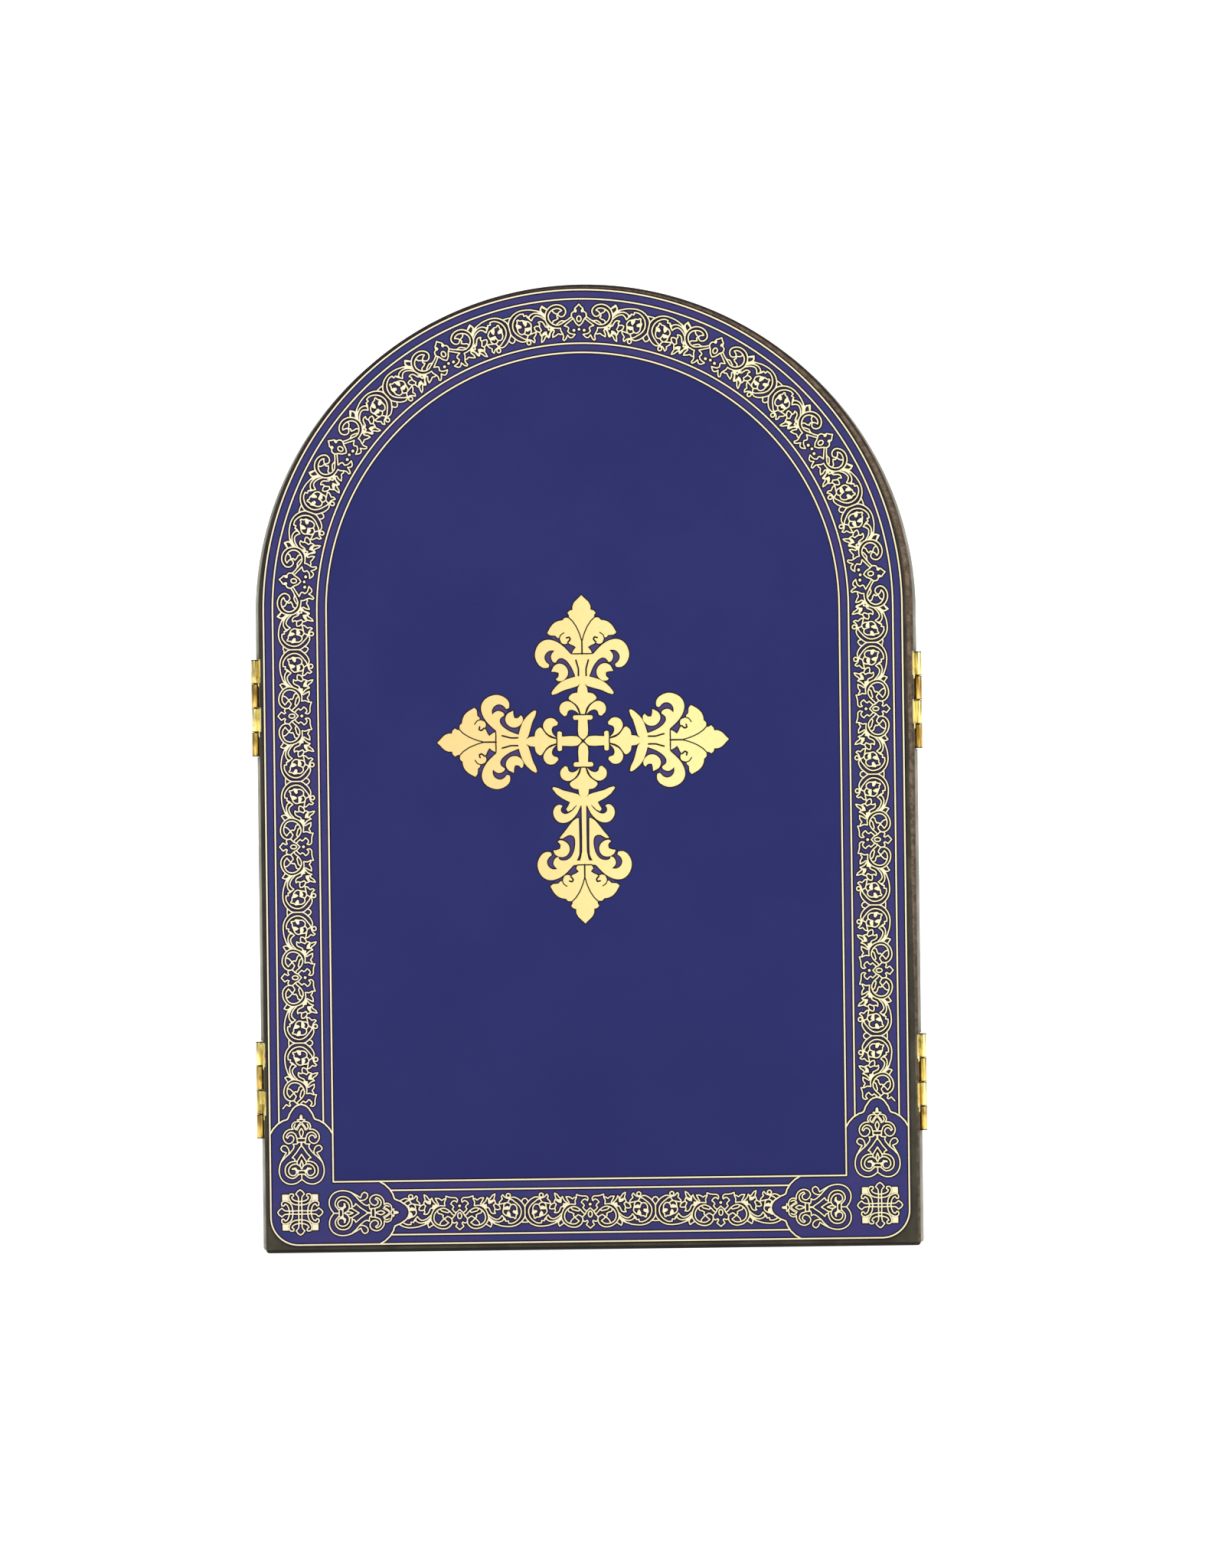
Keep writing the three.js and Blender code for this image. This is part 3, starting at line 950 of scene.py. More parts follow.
def heartPalmette():
    # right half, up from the cusp of the heart
    half = Drawing()
    half.line([(0, 0), (0.9, -0.65), (1.9, -0.98), (3.0, -0.9), (4.1, -0.25), (4.75, 0.9),
               (4.88, 2.3), (4.5, 3.8), (3.9, 4.9), (3.3, 5.85), (4.1, 6.15), (4.5, 6.7),
               (4.15, 7.3), (3.5, 7.35), (2.95, 6.9), (2.7, 6.2), (2.75, 5.7)])
    half.line([(4.45, 3.85), (3.6, 4.8), (2.6, 5.65), (1.9, 6.5), (1.6, 7.2), (1.85, 7.7),
               (1.4, 7.7), (0.9, 7.8), (0.65, 8.2)])
    half.line([(0, 7.4), (0.4, 6.9), (1.1, 5.85), (2.05, 4.75), (1.55, 4.5), (1.4, 4.0)])
    half.line([(0.95, 3.95), (1.8, 3.95), (2.7, 3.65), (3.4, 2.9), (3.6, 1.95), (3.35, 1.0),
               (2.6, 0.4), (1.7, 0.3), (1.0, 0.8), (0.6, 1.15)])
    half.line([(0.2, 2.75), (0.9, 3.3), (1.8, 3.3), (2.6, 2.7), (2.85, 1.8), (2.5, 1.1),
               (1.8, 0.85), (1.25, 1.15), (1.15, 1.75)])
    half.fill([(0.3, 2.0), (0.9, 2.15), (1.25, 2.65), (2.1, 2.5), (2.2, 2.1), (1.6, 2.15),
               (1.2, 1.7), (0.9, 1.2), (0.6, 1.7)])
    half.line([(0, 1.15), (0.8, 1.15)])
    half.line([(0, 1.95), (0.9, 1.95)])
    half.line([(0, 1.2), (0, 0)])
    half.line([(0, 5.5), (0.4, 4.85), (0.95, 4.0), (1.0, 3.4)])
    half.line([(0, 4.2), (0.3, 3.4), (0.25, 2.75), (0, 2.3)])
    half.line([(0, 8.12), (0.9, 8.12), (0.95, 8.95), (0, 8.97)])
    half.line([(0, 8.1), (0, 7.3)], width=1.5)
    # side spirals and the crown of small leaves
    half.line([(1.75, 10.95), (2.6, 10.9), (3.5, 10.3), (3.92, 9.3), (3.6, 8.3), (2.8, 7.82),
               (2.0, 8.15), (1.62, 8.9), (2.0, 9.55), (2.6, 9.55), (3.0, 9.0)])
    half.line([(1.0, 9.0), (1.3, 9.85), (2.2, 10.3), (3.0, 9.9), (3.3, 9.25), (3.0, 9.0)])
    half.line([(1.75, 10.95), (2.05, 11.4), (1.8, 12.2), (1.2, 12.55), (0.7, 12.6)])
    half.line([(0.3, 12.15), (0.75, 11.6), (1.15, 10.85), (1.55, 11.4), (1.3, 12.05)])
    half.line([(0, 12.1), (0.45, 11.6), (0.9, 10.7)], width=0.7)
    half.line([(0, 11.1), (0.42, 10.4), (0.3, 9.75), (0, 9.0)])
    half.line([(0, 12.35), (0.5, 12.65), (0.85, 13.0), (0, 13.1)])
    half.fill([(-0.3, 13.0), (0.3, 13.0), (0.28, 13.8), (0, 14.15), (-0.28, 13.8)])
    return half.add(half.moved(mirrored))


def cornerKnot():
    # one eighth, from the middle of the knot up its arm, then mirrored and turned
    eighth = Drawing()
    eighth.line([(0.38, 0), (0.38, 3.25), (0.95, 4.0), (0.5, 4.6), (0, 4.92)])
    eighth.line([(0, 2.35), (0.9, 2.5), (1.6, 2.85), (1.85, 3.3), (1.4, 3.6), (1.5, 4.0),
                 (2.0, 4.05), (2.4, 3.7), (2.5, 3.15)])
    eighth.line([(0, 1.6), (1.1, 1.72), (2.0, 2.2), (2.5, 3.15)])
    eighth.fill([(2.55, 3.9), (3.88, 3.9), (3.9, 3.88), (3.9, 2.55), (3.1, 2.7), (2.4, 2.4),
                 (2.7, 3.1)])
    arm = eighth.add(eighth.moved(mirrored))
    return Drawing().add(*(arm.moved(quarterTurns(number)) for number in range(4)))


palmettes = {
    "sideCusp": 14.25,        # above the outermost line
    "bottomCusp": 55.75,      # from the middle of the sheet
    "knotFromEdge": 6.4,      # knot's middle inside the outermost line, and above it
    "knotUp": 7.1,
}


def layCorners():
    # both lower corners: a heart palmette up the side, one along the bottom, a knot between
    corners = Drawing()
    heart, knot = heartPalmette(), cornerKnot()
    axis = outerRadius - bandMiddle
    for side in (-1, 1):
        def upright(point):
            return onPrint((side * axis + point[0], palmettes["sideCusp"] + point[1]))

        def level(point):
            return onPrint((side * (palmettes["bottomCusp"] - point[1]), bandMiddle + point[0]))

        def atCorner(point):
            return onPrint((side * (outerRadius - palmettes["knotFromEdge"]) + point[0],
                            palmettes["knotUp"] + point[1]))
        corners.add(heart.moved(upright), heart.moved(level), knot.moved(atCorner))
    return corners


# The gold cross: each arm is drawn outwards from the middle of the cross, its right half only.
cross = {
    "up": 108.85,           # its middle above the sheet's outermost line
    "across": -0.25,
    "keyAndShadowMargin": 0.25,
    "slit": 0.36,
    "lowerShift": 8.1,      # the foot's scrolls lie this much further out
    "lowerLeafShift": 8.0,
}


# From the foot of each arm's bud to the leaves that rise from it
budOutline = [(-0.01, 5.85), (0.42, 5.85), (0.75, 7.0), (1.5, 8.05), (2.85, 9.0), (2.98, 9.5),
              (2.2, 10.3), (1.12, 10.5), (1.0, 11.5)]


def scrollOutline(shift):
    # big scroll from the notch inside it, round its free end and back to the leaf's foot
    return [(x, y + shift) for x, y in (
        (5.95, 19.7), (6.9, 19.75), (7.8, 19.2), (8.2, 18.2), (7.85, 17.25), (7.15, 16.65),
        (7.35, 16.05), (8.4, 15.98), (9.5, 16.75), (10.2, 18.3), (10.1, 19.7), (9.4, 21.1),
        (8.2, 21.95), (6.8, 22.05), (5.3, 21.5), (4.0, 20.55), (2.9, 19.4), (2.3, 18.85))]


def leafOutline(shift, footWidth):
    return [(x, y + shift) for x, y in (
        (0, 19.12), (footWidth, 19.1), (1.85, 19.75), (1.3, 20.4), (1.9, 20.8), (2.6, 21.1),
        (2.95, 21.4), (3.7, 21.1), (4.5, 21.45), (4.85, 22.4), (5.35, 22.5), (5.75, 22.95),
        (6.9, 23.05), (7.5, 23.55), (6.8, 24.8), (5.9, 25.75), (4.8, 26.2), (4.2, 26.25),
        (3.75, 26.75), (3.1, 26.8), (2.7, 26.75), (2.72, 27.3), (3.05, 27.85), (2.6, 28.35),
        (1.95, 28.5), (1.95, 29.3), (1.45, 30.3), (0.6, 31.1), (0, 31.7))]


def leafSlits(arm, shift):
    slit = cross["slit"]
    arm.cut([(0, 18.9 + shift), (0, 21.7 + shift)], slit)
    arm.cut([(0, 21.6 + shift), (0.4, 23.0 + shift), (1.2, 24.9 + shift), (2.0, 26.1 + shift),
             (2.9, 26.95 + shift)], slit * 0.75)
    arm.cut([(3.05, 21.5 + shift), (2.55, 22.1 + shift), (2.75, 22.6 + shift),
             (3.35, 22.45 + shift)], slit)
    arm.cut([(4.9, 22.2 + shift), (4.65, 23.0 + shift), (3.9, 23.55 + shift)], slit * 0.7)


def crossInner(arm):
    # stem and bar of the small middle cross, and the bud with its two curls
    arm.fill([(-0.01, 0.3), (0.98, 1.28), (0.98, 4.6), (1.0, 4.62), (1.9, 4.62), (2.15, 5.1),
              (1.9, 5.55), (-0.01, 5.55)])
    arm.fill([(0.8, 5.85), (1.5, 6.5), (2.5, 6.83), (3.25, 6.45), (3.5, 5.65), (4.05, 5.45),
              (4.8, 6.15), (5.05, 7.1), (4.65, 8.1), (3.6, 8.65), (2.6, 8.45), (1.5, 7.5)])


def upperArm():
    arm = Drawing()
    crossInner(arm)
    # bud, long leaf, cup and scroll in one
    arm.fill(budOutline + [
        (0.5, 12.45), (1.1, 11.95), (2.6, 11.5), (4.4, 10.95), (5.6, 10.35), (6.55, 10.1),
        (6.75, 10.5), (5.9, 11.7), (4.7, 12.8), (3.2, 13.5), (1.5, 14.0), (2.2, 15.8),
        (3.1, 17.2), (4.1, 18.0), (5.1, 17.95), (5.75, 17.1), (6.3, 17.25), (6.75, 18.3),
        (6.5, 19.1)] + scrollOutline(0) + [(-0.01, 18.85)])
    arm.fill([(6.75, 15.15), (6.2, 16.25), (5.1, 16.85), (3.9, 16.5), (3.15, 15.4),
              (3.3, 14.1), (4.3, 13.15), (5.3, 13.1), (5.75, 13.5), (5.15, 14.1), (5.15, 14.9),
              (5.9, 15.1)])
    arm.fill([(-0.01, 19.12)] + leafOutline(0, 2.15)[1:] + [(-0.01, 31.7)])
    arm.cut([(1.35, 17.6), (1.2, 17.0), (0.85, 15.8), (0.85, 14.2)], cross["slit"])
    leafSlits(arm, 0)
    return arm


def lowerArm():
    arm = Drawing()
    crossInner(arm)
    shift = cross["lowerShift"]
    arm.fill(budOutline + [
        (0.5, 12.3), (1.1, 11.7), (2.6, 11.2), (4.4, 10.75), (5.6, 10.2), (6.6, 9.95),
        (6.8, 10.3), (5.9, 11.5), (4.7, 12.4), (3.0, 13.3), (3.3, 13.9), (3.85, 14.8),
        (3.5, 15.35), (2.6, 14.9), (1.7, 14.0), (0.5, 14.1), (0.5, 24.0), (0.75, 25.3),
        (1.0, 26.0), (-0.01, 26.05)])
    arm.fill([(0.65, 13.9), (1.3, 13.8), (2.2, 14.85), (3.2, 15.6), (4.2, 15.85), (4.95, 15.35),
              (5.0, 14.6), (4.65, 14.15), (5.2, 13.82), (6.1, 14.15), (6.65, 15.2),
              (6.5, 16.4), (5.6, 17.5), (4.2, 17.75), (2.8, 17.15), (1.5, 15.75)])
    arm.fill([(1.15, 16.75), (1.7, 16.85), (2.7, 17.7), (4.0, 19.4), (5.4, 21.1), (4.7, 21.15),
              (3.6, 20.5), (2.5, 20.6), (2.0, 21.5), (2.1, 23.3), (2.7, 24.9), (3.7, 25.8),
              (4.8, 25.95), (5.5, 25.7), (5.65, 25.2), (6.3, 25.4), (6.8, 26.5), (6.5, 27.25)]
             + scrollOutline(shift) + [(1.5, 26.95), (-0.01, 26.75), (-0.01, 26.05), (1.75, 26.0),
                                       (1.15, 24.7)])
    arm.fill([(5.8, 21.85), (5.2, 22.5), (5.3, 23.4), (6.1, 23.7), (6.75, 23.75), (6.4, 24.6),
              (5.2, 25.2), (4.0, 24.95), (3.3, 24.0), (3.35, 22.8), (4.2, 21.85), (5.3, 21.55)])
    leafShift = cross["lowerLeafShift"]
    arm.fill([(-0.01, 26.6)] + leafOutline(leafShift, 1.5)[1:] + [(-0.01, 39.7)])
    arm.cut([(0, 26.95), (1.55, 26.95)], cross["slit"] * 0.8)
    leafSlits(arm, leafShift)
    return arm


def scrollGrounds(arm, shift):
    # grounds enclosed by the scrolls and the leaf
    for points in (
            ((6.2, 19.8), (7.9, 19.5), (8.5, 18.2), (8.0, 17.0), (7.2, 16.1), (6.4, 16.6),
             (6.1, 17.1), (6.8, 18.3)),
            ((2.3, 19.0), (1.2, 20.4), (2.8, 21.3), (3.9, 21.0)),
            ((4.6, 21.3), (5.0, 22.5), (5.8, 22.9), (6.6, 22.8), (6.3, 22.1))):
        arm.ground([(x, y + shift) for x, y in points])


def wholeCross():
    # the four arms about the middle of the cross; the lower one is longer
    upper, lower = upperArm(), lowerArm()
    upper.ground([(1.4, 14.0), (2.2, 16.1), (3.3, 17.6), (4.7, 18.2), (5.8, 17.6), (5.9, 16.6),
                  (3.3, 15.6), (3.6, 13.4)])
    lower.ground([(1.9, 21.2), (3.0, 20.4), (4.3, 20.8), (5.4, 21.4), (4.2, 22.2), (3.6, 24.4),
                  (5.4, 25.1), (5.6, 25.9), (4.3, 26.1), (2.6, 25.1)])
    lower.ground([(0.5, 14.2), (1.3, 15.6), (2.3, 16.9), (1.1, 17.2), (0.5, 17.2)])
    for arm, shift in ((upper, 0), (lower, cross["lowerShift"])):
        scrollGrounds(arm, shift)
        arm.add(arm.moved(mirrored))
    arms = (upper, upper, lower, upper)
    return Drawing().add(*(arm.moved(quarterTurns(number)) for number, arm in enumerate(arms)))


print("triptych: ornament drawn")


inks = {
    "field": screenColour(41, 44, 98),
    "fieldDeep": screenColour(38, 41, 95),
    "band": screenColour(60, 54, 108),
    "bandBlue": screenColour(50, 54, 106),
    "ground": screenColour(70, 61, 110),
    "key": screenColour(32, 19, 27),
    "lineGold": screenColour(243, 231, 199),
    "lineGoldRich": screenColour(244, 234, 190),
    # painted sheen: the cross's gold is lighter and yellower on its right
    "crossLeft": screenColour(240, 208, 138),
    "crossRight": screenColour(241, 234, 158),
    "innerLeft": screenColour(206, 168, 92),
    "innerRight": screenColour(218, 186, 112),
}


def darker(colour, share):
    return tuple(part * share for part in colour)


def archDistance(finish, centreX, radius, spring, bottom):
    # how far a point lies outside an arch outline, in metres; negative inside
    across = (finish.x - centreX).size()
    above = (finish.z - spring).most(0)
    fromHead = (across * across + above * above).root() - radius
    return fromHead.most(bottom - finish.z)


def bluePrint(name, centreX, radius, spring, bottom, bandWidth):
    # satin printed sheet: violet band round a deeper blue field, with faint mottling
    finish = Finish(name, Roughness=0.52, Specular_IOR_Level=0.08)
    distance = archDistance(finish, centreX, radius, spring, bottom)
    soft = 0.02         # half the width over which band and field meet
    band = distance.step(-(bandWidth + soft) * mm, -(bandWidth - soft) * mm)
    cloud = finish.noise(38, 4)
    field = finish.mix(cloud.step(0.3, 0.7), inks["fieldDeep"], inks["field"])
    violet = finish.mix(finish.noise(160, 4, 0.65).step(0.35, 0.65), inks["bandBlue"], inks["band"])
    finish.put("Base Color", finish.mix(band, field, violet))
    grain = finish.noise(2600, 3)
    finish.put("Roughness", 0.48 + grain * 0.1)
    finish.bump(grain, 0.004 * mm, 0.5)
    return finish


def plainInk(name, colour, roughness):
    finish = Finish(name, Specular_IOR_Level=0.1)
    grain = finish.noise(1800, 3)
    finish.put("Base Color", finish.mix(grain, darker(colour, 0.88), colour))
    finish.put("Roughness", roughness - 0.06 + grain * 0.12)
    return finish


def foil(name, left, right, reach, roughness, metallic):
    # gold leafing drawn warmer and darker on the left, yellower and lighter on the right: a painted
    # sheen
    finish = Finish(name, Metallic=metallic)
    tone = finish.mix(finish.x.step(-reach, reach), left, right)
    fleck = finish.noise(900, 4, 0.7)
    finish.put("Base Color", finish.mix((fleck - 0.5) * 0.5 + 0.12, tone, darker(left, 0.8)))
    finish.put("Roughness", roughness - 0.08 + fleck * 0.16)
    finish.bump(fleck, 0.006 * mm, 0.4)
    return finish


lacquerTones = {
    "olive": (screenColour(52, 49, 39), screenColour(70, 66, 53)),
    "rubbed": (screenColour(78, 64, 51), screenColour(120, 102, 86)),
    # painted light: the wings' lacquer is a paler, lit copy of the olive
    "pale": (screenColour(150, 149, 134), screenColour(182, 180, 166)),
    # painted shade: nearly black along the rounded rim and the foot
    "rim": screenColour(14, 12, 9),
    "rubbedFrom": 150,      # height above which the rims are rubbed through
    "rubbedRightOf": 30,
    "fadeUp": 40,           # over which the rubbing sets in
    "fadeRight": 30,
    "rubbedReach": (0.2, 0.85),     # width worn at the foot, and how much wider above
    "widerOver": (20, 130),         # heights between which it widens
    "shadedRimWidth": 0.42,
    "rimShadeStrength": {"olive": 0.85, "pale": 0.25},
    "footShadeBand": 0.7,        # height of the painted shade along the foot
    "wingStandsOut": 1.1,   # how far the wings' outline lies outside the centre board's
}


def lacquer(name, radius, spring, pale=False):
    # dark olive lacquer over pressed board: rubbed through to brown round the head and down
    # the right side; painted shade, nearly black, along the outermost rim and the foot; a paler
    # copy, painted light, on the wings
    finish = Finish(name, Specular_IOR_Level=0.15)
    distance = archDistance(finish, 0, radius, spring, boardLo.z)
    cloud = finish.noise(120, 5, 0.6)
    fibre = finish.noise(900, 4, 0.7)
    tones = lacquerTones
    tone = "pale" if pale else "olive"
    ground = finish.mix(cloud.step(0.35, 0.7), *tones[tone])
    brown = finish.mix(fibre.step(0.35, 0.65), *tones["rubbed"])
    high = (finish.z - tones["rubbedFrom"] * mm).step(0, tones["fadeUp"] * mm)
    right = (finish.x - tones["rubbedRightOf"] * mm).step(0, tones["fadeRight"] * mm)
    low, top = (height * mm for height in tones["widerOver"])
    least, wider = tones["rubbedReach"]
    reach = finish.z.step(low, top) * wider + least
    worn = (distance * 1000 + cloud * 0.7 + reach).step(-0.2, 0.2) * high.most(right)
    # painted shade: the foot and the rounded rim are darkened, the rim more so higher up
    foot = finish.z.step(tones["footShadeBand"] * 0.9 * mm, tones["footShadeBand"] * 1.2 * mm)
    rim = (distance + fibre * 0.25 * mm).step(-(tones["shadedRimWidth"] + 0.12) * mm,
                                             -(tones["shadedRimWidth"] - 0.08) * mm)
    rim = (rim * (high * 0.65 + 0.35)).most(1 - foot)
    surface = ground if pale else finish.mix(worn, ground, brown)
    finish.put("Base Color", finish.mix(rim * tones["rimShadeStrength"][tone], surface, tones["rim"]))
    finish.put("Roughness", 0.42 + fibre * 0.18 + worn * 0.15)
    finish.bump(fibre + cloud * 0.5, 0.03 * mm, 0.35)
    return finish


knuckleLines = {
    "feet": (24.6, 108.2),      # height at which the lower and the upper hinges start
    "between": 70,              # a height between the two
    "pitch": 5.3,
    "reach": 1.2,               # how far from the fold plane the lines run
    "gapDarkening": 0.3,               # half the width of the darkening in a gap
}


def brassFinish(name, worn, plain, polished):
    # worn brass, browner in streaks down the knuckles and where the polish has gone, and
    # darker where one knuckle meets the next
    finish = Finish(name, Metallic=1.0)
    tarnish = finish.noise(420, 5, 0.65)
    streak = finish.noise(900, 3, 0.7, stretch=(1, 1, 0.12))
    bright = finish.mix(streak.step(0.32, 0.56), plain, polished)
    aged = finish.mix(tarnish.step(0.52, 0.74) * 0.8, bright, worn)
    low, high = knuckleLines["feet"]
    between = knuckleLines["between"] * mm
    foot = finish.z.step(between, between + mm) * (high - low) * mm + low * mm
    fromLine = (finish.z - foot).math("PINGPONG", knuckleLines["pitch"] * mm / 2)
    gapDarkening = knuckleLines["gapDarkening"] * mm
    reach = knuckleLines["reach"] * mm
    onKnuckle = 1 - finish.y.size().step(reach, reach * 1.1)
    lines = (1 - fromLine.step(gapDarkening * 0.5, gapDarkening)) * onKnuckle
    finish.put("Base Color", finish.mix(lines * 0.9, aged, screenColour(36, 26, 14)))
    finish.put("Roughness", 0.22 + tarnish * 0.22)
    finish.bump(streak, 0.012 * mm, 0.45)
    return finish


boardFinish = lacquer("centreLacquer", board["radius"], board["spring"])
backPrint = bluePrint("backPrint", printX * mm, outerRadius * mm, printSpring * mm,
                      printBottom * mm, printed["borderLines"][3])
keyInk = plainInk("keyInk", inks["key"], 0.55)
groundInk = plainInk("groundInk", inks["ground"], 0.52)
lineGold = foil("lineGold", inks["lineGold"], inks["lineGoldRich"], 0.07, 0.45, 0.15)
crossGold = foil("crossGold", inks["crossLeft"], inks["crossRight"], 0.03, 0.4, 0.15)
innerGold = foil("innerGold", inks["innerLeft"], inks["innerRight"], 0.15, 0.45, 0.25)
# one brass in lit and shaded copies: the board leaves' copy is lighter, painted light; the wing
# leaves' is darker, painted shade
litBoardBrass = brassFinish("litBoardBrass", screenColour(112, 90, 46), screenColour(196, 166, 84),
                         screenColour(255, 243, 172))
shadedWingBrass = brassFinish("shadedWingBrass", screenColour(86, 64, 32), screenColour(150, 116, 54),
                        screenColour(232, 200, 116))
# the pins' brass is a much darker copy: painted shade inside the rolled knuckles
shadedPinBrass = brassFinish("shadedPinBrass", screenColour(48, 36, 20), screenColour(74, 56, 28),
                       screenColour(120, 96, 50))

print("triptych: finishes made")


# The hinges; places are measured from the axis of the pin
hinge = {
    "pinAcross": 72.5,      # from the middle of the centre board
    "sheet": 0.4,           # thickness of the brass
    "rollRadius": 0.7,      # to the middle of the rolled sheet
    "rollTurn": math.radians(318),
    "rollSteps": 22,
    "knuckles": 4,
    "boardKnuckles": (0, 2),    # counted from the top
    "wingKnuckles": (1, 3),
    "gap": 0.06,            # half the gap between two knuckles
    "crankStart": 1.75,     # where a board leaf's plate bends towards the pin
    "crankEnd": 0.7,
    "plateEnd": 1.5,        # where a plate stops beside the other leaf's knuckle
    "softened": 0.07,       # rounding of the brass sheet's edges
    "softSteps": 2,
    "softEdge": math.radians(40),
    "smoothTurn": math.radians(32),
    "headRadius": 1.0,
    "headRise": 0.32,
    "headSides": 24,
    "headSteps": 4,
    "domed": 0.8,           # share of the head's rise that is rounded
    "shank": 0.42,
    "boardSlack": (0.02, 0.12, 0.12),   # room round a leaf in its recess
    "wingSlack": (0.12, 0.12, 0.12),
    "recessOpen": 3,        # how far past the wing's edge its recess is cut
}

centreBoard = archSlab(0, board["radius"], board["spring"], boardLo, boardHi,
                       edgeRound=board["edgeRound"])
slack = Vector(hinge["boardSlack"]) * mm
for height in ("upper", "lower"):
    for side in ("left", "right"):
        leafLo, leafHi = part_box(f"{height}_{side}_board_leaf")
        cutRecess(centreBoard, leafLo - slack, leafHi + slack)
        # behind its own knuckles the leaf shows from the back, through a notch
        band = (leafHi.z - leafLo.z) / hinge["knuckles"]
        for fromTop in reversed(hinge["boardKnuckles"]):
            notchLo, notchHi = leafLo - slack, leafHi + slack
            notchLo.y = boardLo.y - slack.y
            notchLo.z = leafLo.z + (hinge["knuckles"] - 1 - fromTop) * band
            notchHi.z = notchLo.z + band
            cutRecess(centreBoard, notchLo, notchHi)
settle(centreBoard, "centreBoard", boardFinish, "lacquered_board", "centre", "centre_board")

sheetRadius = (sheetHi.x - sheetLo.x) / 2
backSheet = archSlab(printX * mm, sheetRadius, sheetHi.z - sheetRadius, sheetLo, sheetHi,
                     corner=printed["sheetCorner"] * mm)
settle(backSheet, "backSheet", backPrint, "blue_sheet", "centre", "back_sheet")

# Heights of the ornament above the sheet; the frame's lines lie over what they cross
layers = {"ground": 0.012, "key": 0.024, "gold": 0.05, "frameLift": 0.004}
sheetFace = sheetLo.y

frames = layBorderLines()
corners = layCorners()
width = vine["lineWidth"]
# the Key layers: dark outline round the gold, partly printed keyline, partly painted shadow
for name, margin, finish, slotName in (("Key", vine["keyAndShadowMargin"], keyInk, "blue_sheet"),
                                       ("Gold", 0, lineGold, "gold_sheet")):
    height = layers[name.lower()]
    for part, patches, lift in (
            ("vine", layVine(margin), 0),
            ("frame", [joinFlat(frames.shapes(width, margin))], layers["frameLift"]),
            ("corner", [joinFlat(corners.shapes(width, margin))], 0)):
        piece = inlay(patches, sheetFace, height + lift)
        settle(piece, part + name, finish, slotName, "centre")
        print("triptych:", piece.name, len(piece.data.polygons), "faces")


def placeCross(across, up, scale=1.0):
    # the whole cross with its middle at that place
    return wholeCross().moved(
        lambda point: Vector((across + point[0] * scale, up + point[1] * scale)))


bigCross = placeCross(printX + cross["across"], printBottom + cross["up"])
crossGround = inlay([joinFlat(bigCross.grounds)], sheetFace, layers["ground"])
settle(crossGround, "crossGround", groundInk, "blue_sheet", "centre")
# the dark outline round the cross: partly printed keyline, partly painted shadow of the raised gold
crossKey = inlay([joinFlat(bigCross.shapes(0, cross["keyAndShadowMargin"]))], sheetFace, layers["key"])
settle(crossKey, "crossKey", keyInk, "blue_sheet", "centre")
crossInlay = inlay([joinFlat(bigCross.shapes(0), bigCross.slits())], sheetFace, layers["gold"])
settle(crossInlay, "crossGold", crossGold, "gold_sheet", "centre")
print("triptych: back sheet dressed")


def rolledLeaf(node, side, kind):
    # one leaf: a plate, drawn out and rolled round the pin where its own knuckles are
    lo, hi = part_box(node)
    away = -1 if kind == "board" else 1         # the way the plate points from the pin
    axisX = side * hinge["pinAcross"] * mm
    plateX = side * (min(abs(lo.x), abs(hi.x)) + hinge["sheet"] * mm / 2)
    freeY = lo.y if away < 0 else hi.y
    stopY = away * hinge["crankStart" if kind == "board" else "plateEnd"] * mm
    startFresh()
    bpy.ops.mesh.primitive_plane_add(
        size=1, location=(plateX, (freeY + stopY) / 2, (lo.z + hi.z) / 2),
        rotation=(0, rightAngle, 0))
    bpy.context.active_object.scale = (hi.z - lo.z, abs(freeY - stopY), 1)
    leaf = openForShaping()
    band = (hi.z - lo.z) / hinge["knuckles"]
    gap = hinge["gap"] * mm
    for number in range(1, hinge["knuckles"]):
        for shift in (-gap, gap):
            bpy.ops.mesh.select_all(action="SELECT")
            bpy.ops.mesh.bisect(plane_co=(0, 0, lo.z + number * band + shift),
                                plane_no=(0, 0, 1))

    def knuckleEdge(middle, along):
        onStop = abs(middle.y - stopY) < board["tiny"] / 2
        own = int((hi.z - middle.z) / band) in hinge[f"{kind}Knuckles"]
        return onStop and own and abs(along.z) > band / 2

    selectPart(leaf, "EDGE", knuckleEdge)
    aside = side * (abs(axisX) - hinge["rollRadius"] * mm) - plateX
    if kind == "board":
        crankY = away * hinge["crankEnd"] * mm
        drawOut(aside, crankY - stopY, 0)
        drawOut(0, -crankY, 0)
    else:
        drawOut(aside, -stopY, 0)
    bpy.ops.mesh.spin(steps=hinge["rollSteps"], angle=side * away * hinge["rollTurn"],
                      center=(axisX, 0, 0), axis=(0, 0, 1))
    mergeAndTurnOut()
    applyModifier(leaf, "SOLIDIFY", thickness=hinge["sheet"] * mm, offset=0)
    applyModifier(leaf, "BEVEL", width=hinge["softened"] * mm, segments=hinge["softSteps"],
                  limit_method="ANGLE", angle_limit=hinge["softEdge"])
    bpy.ops.object.shade_smooth_by_angle(angle=hinge["smoothTurn"])
    return leaf


